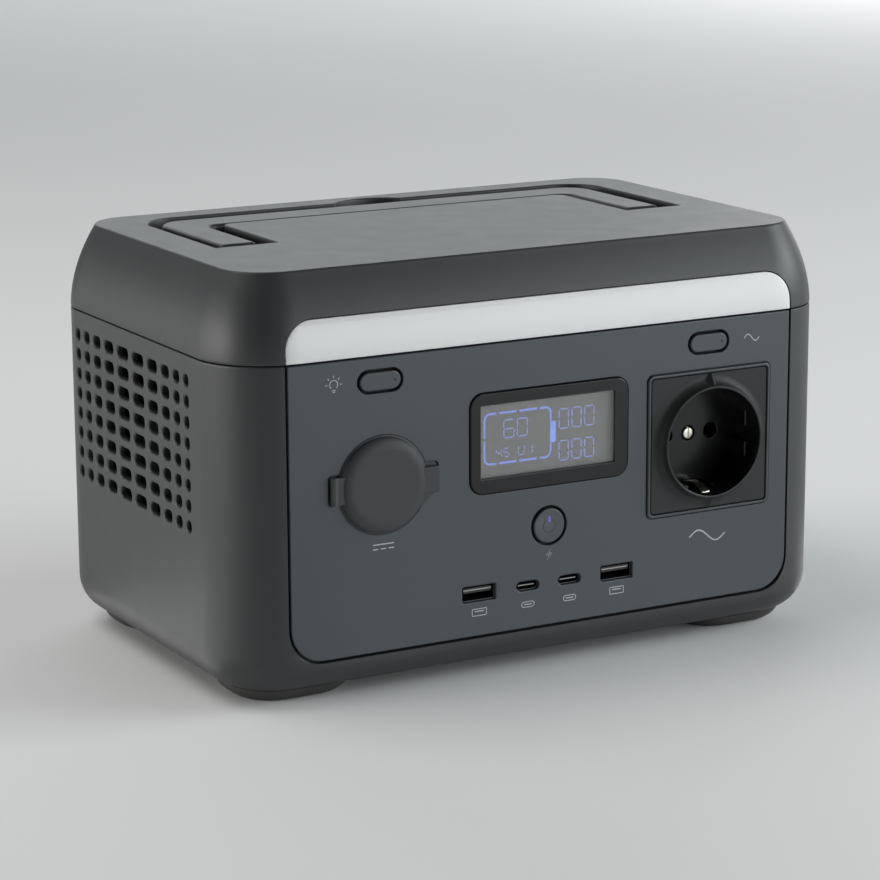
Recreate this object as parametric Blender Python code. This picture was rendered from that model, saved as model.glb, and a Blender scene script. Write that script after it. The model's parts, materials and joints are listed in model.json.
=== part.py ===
"""Portable power station: shell, lid, fold-flat handle, outlets, controls and the parts inside.

Dimensions are millimetres in a frame whose Y = 0 is the middle of the body; put() turns them into
metres and shifts them so that the finished bounding box is centred on the origin.
"""

import math

import bmesh
import bpy

# Body
WIDTH, DEPTH, CORNER_R, WALL = 240.0, 154.0, 25.5, 2.6
SHELL_Z, PART_Z, TOP_Z = 4.0, 117.7, 147.1
BOTTOM_ROUND = 14.0
LID_INSET, LID_CURVE = 9.6, 1.9
SHIFT_Y = 1.8
FRONT, BACK = -DEPTH / 2, DEPTH / 2
# Front panel
PANEL_Y, PANEL_T = FRONT + 0.4, 2.5
PANEL_X, PANEL_Z, PANEL_R, PANEL_GAP = 99.2, 16.0, 12.0, 0.9
LENS_TOP, LENS_R = 131.3, 10.0
# Controls and outlets: (x, z)
PILLS = {"led_light": (-65.2, 109.2), "ac_output": (65.0, 109.2)}
PILL_HOLE = (17.2, 8.2)
POWER, POWER_HOLE_R = (0.0, 51.4), 7.1
BUTTON_GAP, BUTTON_TRAVEL = 1.0, 1.0
DISPLAY, DISPLAY_SIZE, DISPLAY_R = (0.2, 83.2), (62.9, 35.0), 5.0
WINDOW, WINDOW_SIZE = (-0.4, 83.6), (53.6, 25.6)
SOCKET, SOCKET_PLATE, COLLAR_R, RECESS_R = (65.5, 74.0), 48.3, 20.0, 19.2
COLLAR_OUT, RECESS_DEPTH, PIN_X = 4.0, 17.0, 9.5
DC, DC_RING_R, DC_CAP_R, DC_BORE_R = (-64.6, 73.8), 17.15, 16.0, 10.5
CAP_AXIS_X, CAP_AXIS_Y = DC[0] - 18.6, PANEL_Y - 0.9
USB_A = {"usb_a1": -27.7, "usb_a2": 27.7}
USB_C = {"usb_c1": -8.4, "usb_c2": 8.4}
USB_Z = 31.0
# Side vents
VENT_ROWS, VENT_PITCH, VENT_Z, VENT_H = 8, 7.15, 58.8, 4.3
VENT_WIDTHS = (4.0, 5.1, 6.5, 8.1, 9.6, 9.6, 8.1, 6.5, 5.1, 4.0)
VENT_WEB, VENT_Y = 3.35, 4.5
# Handle and its slot
SLOT = {"x_out": 94.3, "x_in": 71.0, "y0": -13.0, "y_in": 33.4, "y1": 56.0, "r_out": 14.0, "r_in": 4.0}
HANDLE = {"x_out": 89.5, "x_in": 75.5, "y0": -6.5, "y_in": 36.4, "y1": 52.4, "r_out": 11.0, "r_in": 5.0}
SLOT_FLOOR, POCKET_WALL = 132.5, 2.3
HANDLE_Z = (137.6, 146.6)
PIVOT_Y, PIVOT_Z, PIN_R = 0.5, 142.1, 2.0
SCOOP_X, SCOOP_Y = 15.0, 62.0
# Feet and case screws
FOOT = {"x": 89.0, "y": 48.0, "w": 36.0, "d": 30.0, "r": 12.0}
SCREWS_X, SCREWS_Y = 58.0, 54.0
# Fan
FAN_SIZE, FAN_T, FAN_X, FAN_Y, FAN_Z = 60.0, 14.0, 99.5, 4.5, 83.5

PLASTIC, RUBBER = (0.045, 0.048, 0.052), (0.03, 0.03, 0.032)


# ---------------------------------------------------------------- mesh helpers
def rounded(w, h, r, seg=4, at=(0.0, 0.0)):
    """Rounded rectangle, counter-clockwise."""
    points = []
    for i, (sx, sy) in enumerate(((1, 1), (-1, 1), (-1, -1), (1, -1))):
        for k in range(seg + 1):
            a = math.pi / 2 * (i + k / seg)
            points.append(
                (at[0] + sx * (w / 2 - r) + r * math.cos(a), at[1] + sy * (h / 2 - r) + r * math.sin(a))
            )
    return points


def circle(r, seg, at=(0.0, 0.0)):
    turn = 2 * math.pi / seg
    return [(at[0] + r * math.cos(k * turn), at[1] + r * math.sin(k * turn)) for k in range(seg)]


def arc(cx, cy, r, a0, a1, seg):
    angles = [math.radians(a0 + (a1 - a0) * k / seg) for k in range(seg + 1)]
    return [(cx + r * math.cos(a), cy + r * math.sin(a)) for a in angles]


def place(u, v, a, axis):
    """A point given in the plane across an axis, and its distance along it."""
    return {"X": (a, u, v), "Y": (u, a, v), "Z": (u, v, a)}[axis]


def loft(rings):
    """Closed solid through rings of equal length, with flat ends."""
    n = len(rings[0])
    points = [p for ring in rings for p in ring]
    faces = [
        (i * n + k, i * n + (k + 1) % n, (i + 1) * n + (k + 1) % n, (i + 1) * n + k)
        for i in range(len(rings) - 1)
        for k in range(n)
    ]
    faces += [tuple(range(n))[::-1], tuple(range((len(rings) - 1) * n, len(rings) * n))]
    return points, faces


def prism(outline, a0, a1, axis):
    return loft([[place(u, v, a, axis) for u, v in outline] for a in (a0, a1)])


def box(x, y, z):
    outline = [(x[0], y[0]), (x[1], y[0]), (x[1], y[1]), (x[0], y[1])]
    return prism(outline, z[0], z[1], "Z")


def lathe(profile, seg, axis, at=(0.0, 0.0)):
    """Solid of revolution. profile is (radius, distance along the axis); radius 0 is on the axis."""
    points, rings, faces = [], [], []
    for r, a in profile:
        ring = [(at[0], at[1])] if r == 0 else circle(r, seg, at)
        rings.append(range(len(points), len(points) + len(ring)))
        points += [place(u, v, a, axis) for u, v in ring]
    closed = profile[0][0] != 0
    for i in range(len(rings) - (0 if closed else 1)):
        a, b = rings[i], rings[(i + 1) % len(rings)]
        for k in range(seg):
            corners = (a[k % len(a)], a[(k + 1) % seg % len(a)], b[(k + 1) % seg % len(b)], b[k % len(b)])
            faces.append(tuple(dict.fromkeys(corners)))
    return points, [f for f in faces if len(f) > 2]


def joined(*solids):
    points, faces = [], []
    for more, sides in solids:
        faces += [tuple(i + len(points) for i in side) for side in sides]
        points += more
    return points, faces


def put(name, solid, origin=(0.0, 0.0, 0.0)):
    """Object from a solid in millimetres, with its origin at a point in the same frame."""
    points, faces = solid
    mesh = bpy.data.meshes.new(name)
    mesh.from_pydata([[(p[i] - origin[i]) / 1000 for i in range(3)] for p in points], [], faces)
    work = bmesh.new()
    work.from_mesh(mesh)
    bmesh.ops.recalc_face_normals(work, faces=work.faces)
    work.to_mesh(mesh)
    work.free()
    obj = bpy.data.objects.new(name, mesh)
    obj.location = (origin[0] / 1000, (origin[1] + SHIFT_Y) / 1000, origin[2] / 1000)
    bpy.context.scene.collection.objects.link(obj)
    return obj


def boolean(obj, operation, *solids):
    """One live Boolean for each solid."""
    for solid in solids:
        number = len(obj.modifiers)
        tool = put(f"{obj.name}.tool{number}", solid)
        tool.hide_render = True
        tool.display_type = "WIRE"
        modifier = obj.modifiers.new(f"{operation.lower()}{number}", "BOOLEAN")
        modifier.operation, modifier.object, modifier.solver = operation, tool, "EXACT"


def cut(obj, *solids):
    boolean(obj, "DIFFERENCE", *solids)


def add(obj, *solids):
    boolean(obj, "UNION", *solids)


def bevel(obj, width, segments=2, angle=50.0):
    modifier = obj.modifiers.new("edges", "BEVEL")
    modifier.width, modifier.segments = width / 1000, segments
    modifier.limit_method, modifier.angle_limit = "ANGLE", math.radians(angle)


def finish(obj, color, rough=0.6, metal=0.0, smooth=None, alpha=1.0):
    """The piece's own material; smooth is the angle under which round sides shade smooth."""
    material = bpy.data.materials.new(obj.name)
    material.use_nodes = True
    shader = material.node_tree.nodes["Principled BSDF"]
    shader.inputs["Base Color"].default_value = (*color, 1.0)
    shader.inputs["Roughness"].default_value = rough
    shader.inputs["Metallic"].default_value = metal
    shader.inputs["Alpha"].default_value = alpha
    material.diffuse_color = (*color, alpha)
    obj.data.materials.append(material)
    if smooth:
        obj.data.shade_smooth()
        obj.data.set_sharp_from_angle(angle=math.radians(smooth))
    return obj


# ---------------------------------------------------------------- body shape
def body_ring(inset, z, seg=6):
    return [
        (x, y, z)
        for x, y in rounded(WIDTH - 2 * inset, DEPTH - 2 * inset, CORNER_R - inset, seg)
    ]


def lid_inset(z):
    return LID_INSET * max(0.0, (z - PART_Z) / (TOP_Z - PART_Z)) ** LID_CURVE


def lid_solid(z0, z1, offset=0.0, edge=0.0):
    """The lid's outer form between two heights, moved in by an offset, with a rounded top edge."""
    rings = [body_ring(lid_inset(z) + offset, z) for z in (z0, *lid_heights(z0, z1 - edge))]
    if edge:
        rings.append(body_ring(lid_inset(z1) + offset + 0.2 * edge, z1 - 0.25 * edge))
        rings.append(body_ring(lid_inset(z1) + offset + edge, z1))
    return loft(rings)


def lid_heights(z0, z1):
    inner = [z for z in (122.5, 127.5, 132.0, 136.0, 139.5, 142.5, 145.0) if z0 + 1 < z < z1 - 1]
    return [*inner, z1]


def tub_solid(offset, top):
    """The lower shell's outer form, moved in by an offset."""
    radius = BOTTOM_ROUND - offset
    rings = []
    for k in range(5):
        a = math.pi / 2 * k / 4
        rings.append(
            body_ring(offset + radius * (1 - math.sin(a)), SHELL_Z + offset + radius * (1 - math.cos(a)))
        )
    rings.append(body_ring(offset, top))
    return loft(rings)


def u_outline(d, grow=0.0):
    """The fold-flat handle's U, or the slot it lies in; grow widens it on every side."""
    xo, xi, y0 = d["x_out"] + grow, d["x_in"] - grow, d["y0"] - grow
    y1, yi, ro, ri = d["y1"] + grow, d["y_in"] - grow, d["r_out"] + grow, max(1.0, d["r_in"] - grow)
    return [
        (xo, y0),
        *arc(xo - ro, y1 - ro, ro, 0, 90, 5),
        *arc(ro - xo, y1 - ro, ro, 90, 180, 5),
        (-xo, y0),
        (-xi, y0),
        *arc(ri - xi, yi - ri, ri, 180, 90, 3),
        *arc(xi - ri, yi - ri, ri, 90, 0, 3),
        (xi, y0),
    ]


def scoop_outline(grow=0.0):
    chord = SLOT["y1"] - 1.0
    sag = SCOOP_Y - chord
    r = (SCOOP_X**2 + sag**2) / (2 * sag)
    half = math.degrees(math.asin(SCOOP_X / r))
    return [
        (-SCOOP_X - grow, SLOT["y1"] - 3.0),
        (SCOOP_X + grow, SLOT["y1"] - 3.0),
        *arc(0, SCOOP_Y - r, r + grow, 90 - half, 90 + half, 8),
    ]


# ---------------------------------------------------------------- shells
def make_lower_shell():
    shell = put("lower_shell", tub_solid(0.0, PART_Z - 0.2))
    corners = [(sx * SCREWS_X, sy * SCREWS_Y) for sx in (-1, 1) for sy in (-1, 1)]
    inner = put("lower_shell.inner", tub_solid(WALL, PART_Z + 5))
    cut(inner, joined(*(lathe([(0, 5), (6, 5), (6, 9), (0, 9)], 12, "Z", at) for at in corners)))
    inner.hide_render, inner.display_type = True, "WIRE"
    modifier = shell.modifiers.new("hollow", "BOOLEAN")
    modifier.operation, modifier.object, modifier.solver = "DIFFERENCE", inner, "EXACT"
    vents = []
    y = VENT_Y - (sum(VENT_WIDTHS) + VENT_WEB * (len(VENT_WIDTHS) - 1)) / 2
    for width in VENT_WIDTHS:
        for row in range(VENT_ROWS):
            at = (y + width / 2, VENT_Z + row * VENT_PITCH)
            vents.append(prism(rounded(width, VENT_H, 1.45, 1, at), -WIDTH / 2 - 5, WIDTH / 2 + 5, "X"))
        y += width + VENT_WEB
    half = PANEL_X + PANEL_GAP
    low = PANEL_Z - PANEL_GAP
    opening = prism(rounded(2 * half, 140, PANEL_R + PANEL_GAP, 5, (0, low + 70)), FRONT - 5, FRONT + 12, "Y")
    screws = [lathe([(0, 3), (3.6, 3), (3.6, 6.6), (1.9, 6.6), (1.9, 10), (0, 10)], 12, "Z", at) for at in corners]
    cut(shell, opening, joined(*vents), joined(*screws))
    cut(shell, lathe([(0, BACK - 8), (6.3, BACK - 8), (6.3, BACK + 3), (0, BACK + 3)], 16, "Y", (78.0, 38.0)))
    finish(shell, PLASTIC, 0.62, smooth=30)


def make_lid():
    lid = put("upper_lid", lid_solid(PART_Z + 0.2, TOP_Z, edge=1.0))
    cut(lid, lid_solid(PART_Z - 6, TOP_Z - WALL, WALL))
    add(
        lid,
        prism(u_outline(SLOT, POCKET_WALL), SLOT_FLOOR - POCKET_WALL, TOP_Z - 1.3, "Z"),
        prism(scoop_outline(POCKET_WALL), SLOT_FLOOR - POCKET_WALL, TOP_Z - 1.3, "Z"),
    )
    outer, low, high = body_ring(1.5, 0), body_ring(2.95, 0), body_ring(4.6, 0)

    def band(out, inn, z0, z1):
        n = len(out)
        rows = [[(x, y, z) for x, y, _ in ring] for ring, z in ((out, z0), (out, z1), (inn, z1), (inn, z0))]
        points = [p for row in rows for p in row]
        faces = [
            (i * n + k, i * n + (k + 1) % n, (i + 1) % 4 * n + (k + 1) % n, (i + 1) % 4 * n + k)
            for i in range(4)
            for k in range(n)
        ]
        return points, faces

    add(lid, band(outer, high, PART_Z + 0.6, PART_Z + 3), band(low, high, PART_Z - 2.9, PART_Z + 1.2))
    half, top = PANEL_X + PANEL_GAP, LENS_TOP + PANEL_GAP
    window = prism(rounded(2 * half, 60, LENS_R + PANEL_GAP, 5, (0, top - 30)), FRONT - 5, FRONT + 12, "Y")
    cut(
        lid,
        window,
        box((-103.5, 103.5), (FRONT + 2.75, FRONT + 9), (PART_Z - 6, PART_Z + 3.5)),
        prism(u_outline(SLOT), SLOT_FLOOR, TOP_Z + 4, "Z"),
        prism(scoop_outline(), SLOT_FLOOR, TOP_Z + 4, "Z"),
    )
    bore = [
        prism(circle(PIN_R + 0.12, 12, (PIVOT_Y, PIVOT_Z)), s * 66.0, s * 98.5, "X") for s in (-1, 1)
    ]
    cut(lid, joined(*bore))
    finish(lid, PLASTIC, 0.62, smooth=30)


def make_handle():
    origin = (0.0, PIVOT_Y, PIVOT_Z)
    handle = put("carry_handle", prism(u_outline(HANDLE), *HANDLE_Z, "Z"), origin)
    bevel(handle, 1.6)
    cut(handle, joined(*(prism(circle(PIN_R + 0.3, 12, (PIVOT_Y, PIVOT_Z)), s * 74, s * 91, "X") for s in (-1, 1))))
    finish(handle, PLASTIC, 0.6, smooth=35)
    for side, s in (("left", -1), ("right", 1)):
        pin = put(f"handle_pin_{side}", prism(circle(PIN_R, 12, (PIVOT_Y, PIVOT_Z)), s * 69.2, s * 96.2, "X"))
        finish(pin, (0.6, 0.6, 0.62), 0.3, 1.0, smooth=35)


def make_feet_and_screws():
    for name, sx, sy in (("front_left", -1, -1), ("front_right", 1, -1), ("rear_left", -1, 1), ("rear_right", 1, 1)):
        x, y, w, d, r = sx * FOOT["x"], sy * FOOT["y"], FOOT["w"], FOOT["d"], FOOT["r"]
        rings = [
            [(u, v, z) for u, v in rounded(w + 2 * g, d + 2 * g, r + g, 3, (x, y))]
            for z, g in ((0.0, 0.0), (1.2, 2.0), (4.2, 4.2), (7.0, 4.6))
        ]
        foot = put(f"foot_{name}", loft(rings))
        cut(foot, tub_solid(-0.3, 60.0))
        finish(foot, RUBBER, 0.8, smooth=30)
        profile = [(0, 4.3), (3.2, 4.3), (3.2, 6.3), (1.5, 6.3), (1.5, 18), (0, 18)]
        screw = put(f"case_screw_{name}", lathe(profile, 10, "Z", (sx * SCREWS_X, sy * SCREWS_Y)))
        finish(screw, (0.25, 0.25, 0.26), 0.35, 1.0, smooth=35)


# ---------------------------------------------------------------- front panel
def make_front_panel():
    y0, y1 = PANEL_Y, PANEL_Y + PANEL_T
    top = PART_Z - 0.4
    radius = PANEL_R

    def outline(grow, cap):
        x, z = PANEL_X + grow, PANEL_Z - grow
        r = radius + grow
        return [(x, cap), (-x, cap), *arc(r - x, z + r, r, 180, 270, 5), *arc(x - r, z + r, r, 270, 360, 5)]

    panel = put("front_panel", prism(outline(0.0, top), y0, y1, "Y"))
    flange = put("front_panel.flange", prism(outline(2.4, top), y1 + 1.2, y1 + 2.8, "Y"))
    rim = put("front_panel.rim", prism(outline(-2.0, top), y1 - 0.5, y1 + 2.8, "Y"))
    for ring in (flange, rim):
        cut(ring, prism(outline(-5.0, top - 3.0), y1 - 3, y1 + 6, "Y"))
        ring.hide_render, ring.display_type = True, "WIRE"
    for number, ring in enumerate((rim, flange)):
        modifier = panel.modifiers.new(f"back{number}", "BOOLEAN")
        modifier.operation, modifier.object, modifier.solver = "UNION", ring, "EXACT"
    w, h = DISPLAY_SIZE
    through = [
        prism(rounded(*PILL_HOLE, PILL_HOLE[1] / 2 - 0.01, 6, at), y0 - 3, y1 + 6, "Y") for at in PILLS.values()
    ]
    through.append(prism(circle(POWER_HOLE_R, 28, POWER), y0 - 3, y1 + 6, "Y"))
    through.append(prism(rounded(w + 0.6, h + 0.6, DISPLAY_R + 0.3, 4, DISPLAY), y0 - 3, y1 + 6, "Y"))
    through.append(prism(rounded(45.0, 45.0, 4.0, 3, SOCKET), y0 - 3, y1 + 6, "Y"))
    through.append(prism(circle(12.5, 28, DC), y0 - 3, y1 + 6, "Y"))
    through += [prism(rounded(13.4, 6.0, 0.6, 2, (x, USB_Z)), y0 - 3, y1 + 6, "Y") for x in USB_A.values()]
    through += [prism(rounded(9.3, 3.66, 1.82, 4, (x, USB_Z)), y0 - 3, y1 + 6, "Y") for x in USB_C.values()]
    ring = prism(circle(DC_RING_R, 40, DC), y0 - 3, y0 + 1.2, "Y")
    tabs = prism(rounded(43.4, 10.4, 1.0, 2, (DC[0] + 0.6, DC[1])), y0 - 3, y0 + 1.19, "Y")
    cut(panel, joined(*through), ring, tabs)
    cut(panel, prism(rounded(52.0, 52.0, 2.6, 3, SOCKET), y0 - 3, y0 + 1.0, "Y"))
    finish(panel, (0.062, 0.07, 0.082), 0.55, smooth=30)


def make_light_bar():
    outline = [(PANEL_X, PART_Z + 0.5), *arc(PANEL_X - LENS_R, LENS_TOP - LENS_R, LENS_R, 0, 90, 5)]
    outline += [(-x, z) for x, z in reversed(outline)]
    lens = put("light_bar_lens", prism(outline, FRONT - 3, FRONT + 12, "Y"))
    boolean(lens, "INTERSECT", lid_solid(PART_Z - 3, TOP_Z, 0.25))
    cut(lens, lid_solid(PART_Z - 4, TOP_Z + 3, 2.6))
    finish(lens, (0.82, 0.84, 0.86), 0.35, smooth=30)
    board = put("led_strip_board", box((-92, 92), (FRONT + 5.0, FRONT + 6.6), (PART_Z + 1.5, LENS_TOP - 1.6)))
    finish(board, (0.85, 0.85, 0.83), 0.5)


def make_buttons():
    y = PANEL_Y
    for name, at in (*PILLS.items(), ("power", POWER)):
        if name == "power":
            r = POWER_HOLE_R - BUTTON_GAP
            cap, flange = circle(r, 28, at), circle(r + 2.3, 20, at)
        else:
            w, h = PILL_HOLE[0] - 2 * BUTTON_GAP, PILL_HOLE[1] - 2 * BUTTON_GAP
            cap = rounded(w, h, h / 2 - 0.01, 6, at)
            flange = rounded(w + 4.6, h + 2.6, 2.0, 2, at)
        origin = (at[0], y, at[1])
        button = put(f"{name}_button", prism(cap, y - 0.3, y + PANEL_T + 0.6, "Y"), origin)
        add(button, prism(flange, y + PANEL_T + 0.3, y + PANEL_T + 1.5, "Y"))
        add(button, prism(circle(2.0, 10, at), y + PANEL_T + 1.2, y + 9.0, "Y"))
        finish(button, (0.05, 0.054, 0.06), 0.5, smooth=30)
        switch = put(f"{name}_switch", box((at[0] - 3, at[0] + 3), (y + 11.6, y + 14.6), (at[1] - 3, at[1] + 3)))
        add(switch, prism(circle(1.5, 10, at), y + 10.2, y + 12, "Y"))
        finish(switch, (0.02, 0.02, 0.02), 0.5)


def make_display():
    y = PANEL_Y
    bezel = put("display_bezel", prism(rounded(*DISPLAY_SIZE, DISPLAY_R, 5, DISPLAY), y - 0.5, y + 3.0, "Y"))
    cut(bezel, prism(rounded(*WINDOW_SIZE, 0.6, 1, WINDOW), y - 3, y + 6, "Y"))
    finish(bezel, (0.02, 0.02, 0.022), 0.18, smooth=30)
    w, h = WINDOW_SIZE
    window = put("display_window", prism(rounded(w - 0.6, h - 0.6, 0.4, 1, WINDOW), y + 0.4, y + 1.4, "Y"))
    finish(window, (0.3, 0.3, 0.28), 0.1, alpha=0.35)
    module = put("lcd_module", prism(rounded(w + 4, h + 4, 1.0, 1, WINDOW), y + 3.4, y + 8.4, "Y"))
    add(module, prism(rounded(w - 1, h - 1, 0.4, 1, WINDOW), y + 1.8, y + 4.0, "Y"))
    finish(module, (0.36, 0.36, 0.33), 0.4)


# ---------------------------------------------------------------- outlets
def make_ac_socket():
    y, (x, z) = PANEL_Y, SOCKET
    rim, floor = y - COLLAR_OUT, y - COLLAR_OUT + RECESS_DEPTH
    back = floor + 3.0
    frame = put("ac_socket_bezel", prism(rounded(51.2, 51.2, 2.2, 3, SOCKET), y - 0.7, y + 0.6, "Y"))
    cut(frame, prism(rounded(SOCKET_PLATE + 0.6, SOCKET_PLATE + 0.6, 1.4, 3, SOCKET), y - 3, y + 3, "Y"))
    finish(frame, (0.055, 0.06, 0.068), 0.45, smooth=30)
    body = put("ac_socket_body", prism(rounded(SOCKET_PLATE, SOCKET_PLATE, 1.2, 3, SOCKET), y - 0.4, y + 0.6, "Y"))
    outside = [(0, back), (21.6, back), (21.6, y), (21.2, y - 0.4), (20.5, y - 1.2), (COLLAR_R + 0.1, y - 2.4)]
    outside += [(COLLAR_R, rim + 0.4), (COLLAR_R - 0.2, rim), (0, rim)]
    add(body, lathe(outside, 40, "Y", SOCKET))
    wedges = [
        prism([(x - 3.2, z + s * 20.2), (x + 3.2, z + s * 20.2), (x, z + s * 24.0)][::s], y - 1.6, y + 0.3, "Y")
        for s in (-1, 1)
    ]
    add(body, joined(*wedges))
    cut(body, prism(circle(RECESS_R, 40, SOCKET), rim - 3, floor, "Y"))
    ribs = []
    for s in (-1, 1):
        for low, high in ((3.0, 8.5), (-8.5, -3.0)):
            corners = [(x + s * 17.4, z + low), (x + s * 20.2, z + low), (x + s * 20.2, z + high), (x + s * 17.4, z + high)]
            ribs.append(prism(corners[::s], rim + 6.5, floor + 1, "Y"))
    add(body, joined(*ribs))
    holes = [prism(circle(2.75, 16, (x + s * PIN_X, z)), rim, back + 3, "Y") for s in (-1, 1)]
    holes.append(prism(circle(3.1, 16, SOCKET), rim, back + 3, "Y"))
    slots = [box((x - 3.6, x + 3.6), (rim + 4.5, floor + 4.5), sorted((z + s * 17.2, z + s * 20.6))) for s in (-1, 1)]
    cut(body, joined(*holes, *slots))
    finish(body, (0.035, 0.037, 0.04), 0.3, smooth=30)

    screw = put("ac_socket_screw", prism(circle(2.75, 16, SOCKET), floor + 0.3, floor + 6.0, "Y"))
    cut(screw, box((x - 0.45, x + 0.45), (floor - 1, floor + 1.2), (z - 4, z + 4)))
    finish(screw, (0.72, 0.55, 0.28), 0.3, 1.0, smooth=30)
    for name, s in (("top", 1), ("bottom", -1)):
        path = [(rim + 5.2, 19.9), (rim + 9.0, 17.6), (rim + 12.5, 18.6), (floor + 4.0, 19.6)]
        band = [(a, z + s * r) for a, r in path] + [(a, z + s * (r - 0.8)) for a, r in reversed(path)]
        clip = put(f"earth_clip_{name}", prism(band, x - 3.2, x + 3.2, "X"))
        finish(clip, (0.7, 0.66, 0.55), 0.3, 1.0)
    for name, s in (("left", -1), ("right", 1)):
        profile = [(2.55, back + 0.4), (3.6, back + 0.4), (3.6, back + 13), (2.55, back + 13)]
        sleeve = put(f"ac_contact_{name}", lathe(profile, 16, "Y", (x + s * PIN_X, z)))
        finish(sleeve, (0.75, 0.6, 0.3), 0.35, 1.0, smooth=35)


def make_dc_socket():
    y, (x, z) = PANEL_Y, DC
    profile = [(0, y + 38), (12.2, y + 38), (12.2, y + 4.6), (14.6, y + 4.6), (14.6, y + 2.9), (12.2, y + 2.9)]
    profile += [(12.2, y + 1.3), (DC_BORE_R, y + 1.3), (DC_BORE_R, y + 36), (0, y + 36)]
    barrel = put("dc_socket_barrel", lathe(profile, 28, "Y", DC))
    cut(barrel, prism(circle(4.4, 12, DC), y + 34, y + 41, "Y"))
    finish(barrel, (0.6, 0.6, 0.62), 0.35, 1.0, smooth=30)
    contact = [(0, y + 31), (2.6, y + 31), (4.0, y + 33), (4.0, y + 42), (0, y + 42)]
    finish(put("dc_centre_contact", lathe(contact, 12, "Y", DC)), (0.75, 0.6, 0.3), 0.3, 1.0, smooth=35)

    origin = (CAP_AXIS_X, CAP_AXIS_Y, z)
    r, front = DC_CAP_R, y - 2.8
    disc = [(0, y + 0.9), (r - 0.4, y + 0.9), (r, y + 0.5), (r, front + 1.9), (r - 0.6, front + 0.6)]
    disc += [(r - 1.9, front), (0, front)]
    cap = put("dc_socket_cap", lathe(disc, 36, "Y", DC), origin)
    plug = [(0, y + 0.5), (9.9, y + 0.5), (9.9, y + 4.2), (9.3, y + 5.0), (0, y + 5.0)]
    web = box((CAP_AXIS_X, x - r + 3), (CAP_AXIS_Y - 0.8, CAP_AXIS_Y + 0.8), (z - 4.7, z + 4.7))
    add(cap, lathe(plug, 24, "Y", DC), web)
    add(cap, prism(circle(1.3, 10, (CAP_AXIS_X, CAP_AXIS_Y)), z - 4.85, z + 4.85, "Z"))
    add(cap, prism(rounded(9.0, 9.6, 1.6, 3, (x + r + 0.5, z)), y - 2.2, y - 0.5, "Y"))
    finish(cap, (0.06, 0.062, 0.064), 0.75, smooth=30)


def make_usb_ports():
    y = PANEL_Y
    for name, x in (*USB_A.items(), *USB_C.items()):
        at = (x, USB_Z)
        if name in USB_A:
            outer, inner = rounded(13.0, 5.6, 0.5, 2, at), rounded(12.3, 4.9, 0.3, 2, at)
            tongue = rounded(11.1, 1.8, 0.2, 1, (x, USB_Z + 1.0))
        else:
            outer, inner = rounded(8.9, 3.26, 1.6, 4, at), rounded(8.3, 2.66, 1.3, 4, at)
            tongue = rounded(6.7, 0.7, 0.15, 1, at)
        shell = put(f"{name}_shell", prism(outer, y + 0.5, y + 14.5, "Y"))
        cut(shell, prism(inner, y - 3, y + 17, "Y"))
        finish(shell, (0.7, 0.7, 0.72), 0.3, 1.0, smooth=30)
        finish(put(f"{name}_tongue", prism(tongue, y + 1.6, y + 14.3, "Y")), (0.02, 0.02, 0.02), 0.5)


def make_charge_inlet():
    at, y = (78.0, 38.0), BACK
    profile = [(0, y - 14), (6, y - 14), (6, y - 0.2), (3.9, y - 0.2), (3.9, y - 12), (0, y - 12)]
    housing = put("charge_inlet_housing", lathe(profile, 16, "Y", at))
    cut(housing, prism(circle(1.3, 8, at), y - 16, y - 11, "Y"))
    finish(housing, (0.03, 0.03, 0.03), 0.5, smooth=35)
    pin = lathe([(0, y - 16), (1.0, y - 16), (1.0, y - 2), (0, y - 2)], 8, "Y", at)
    finish(put("charge_inlet_pin", pin), (0.7, 0.66, 0.5), 0.3, 1.0, smooth=35)


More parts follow.
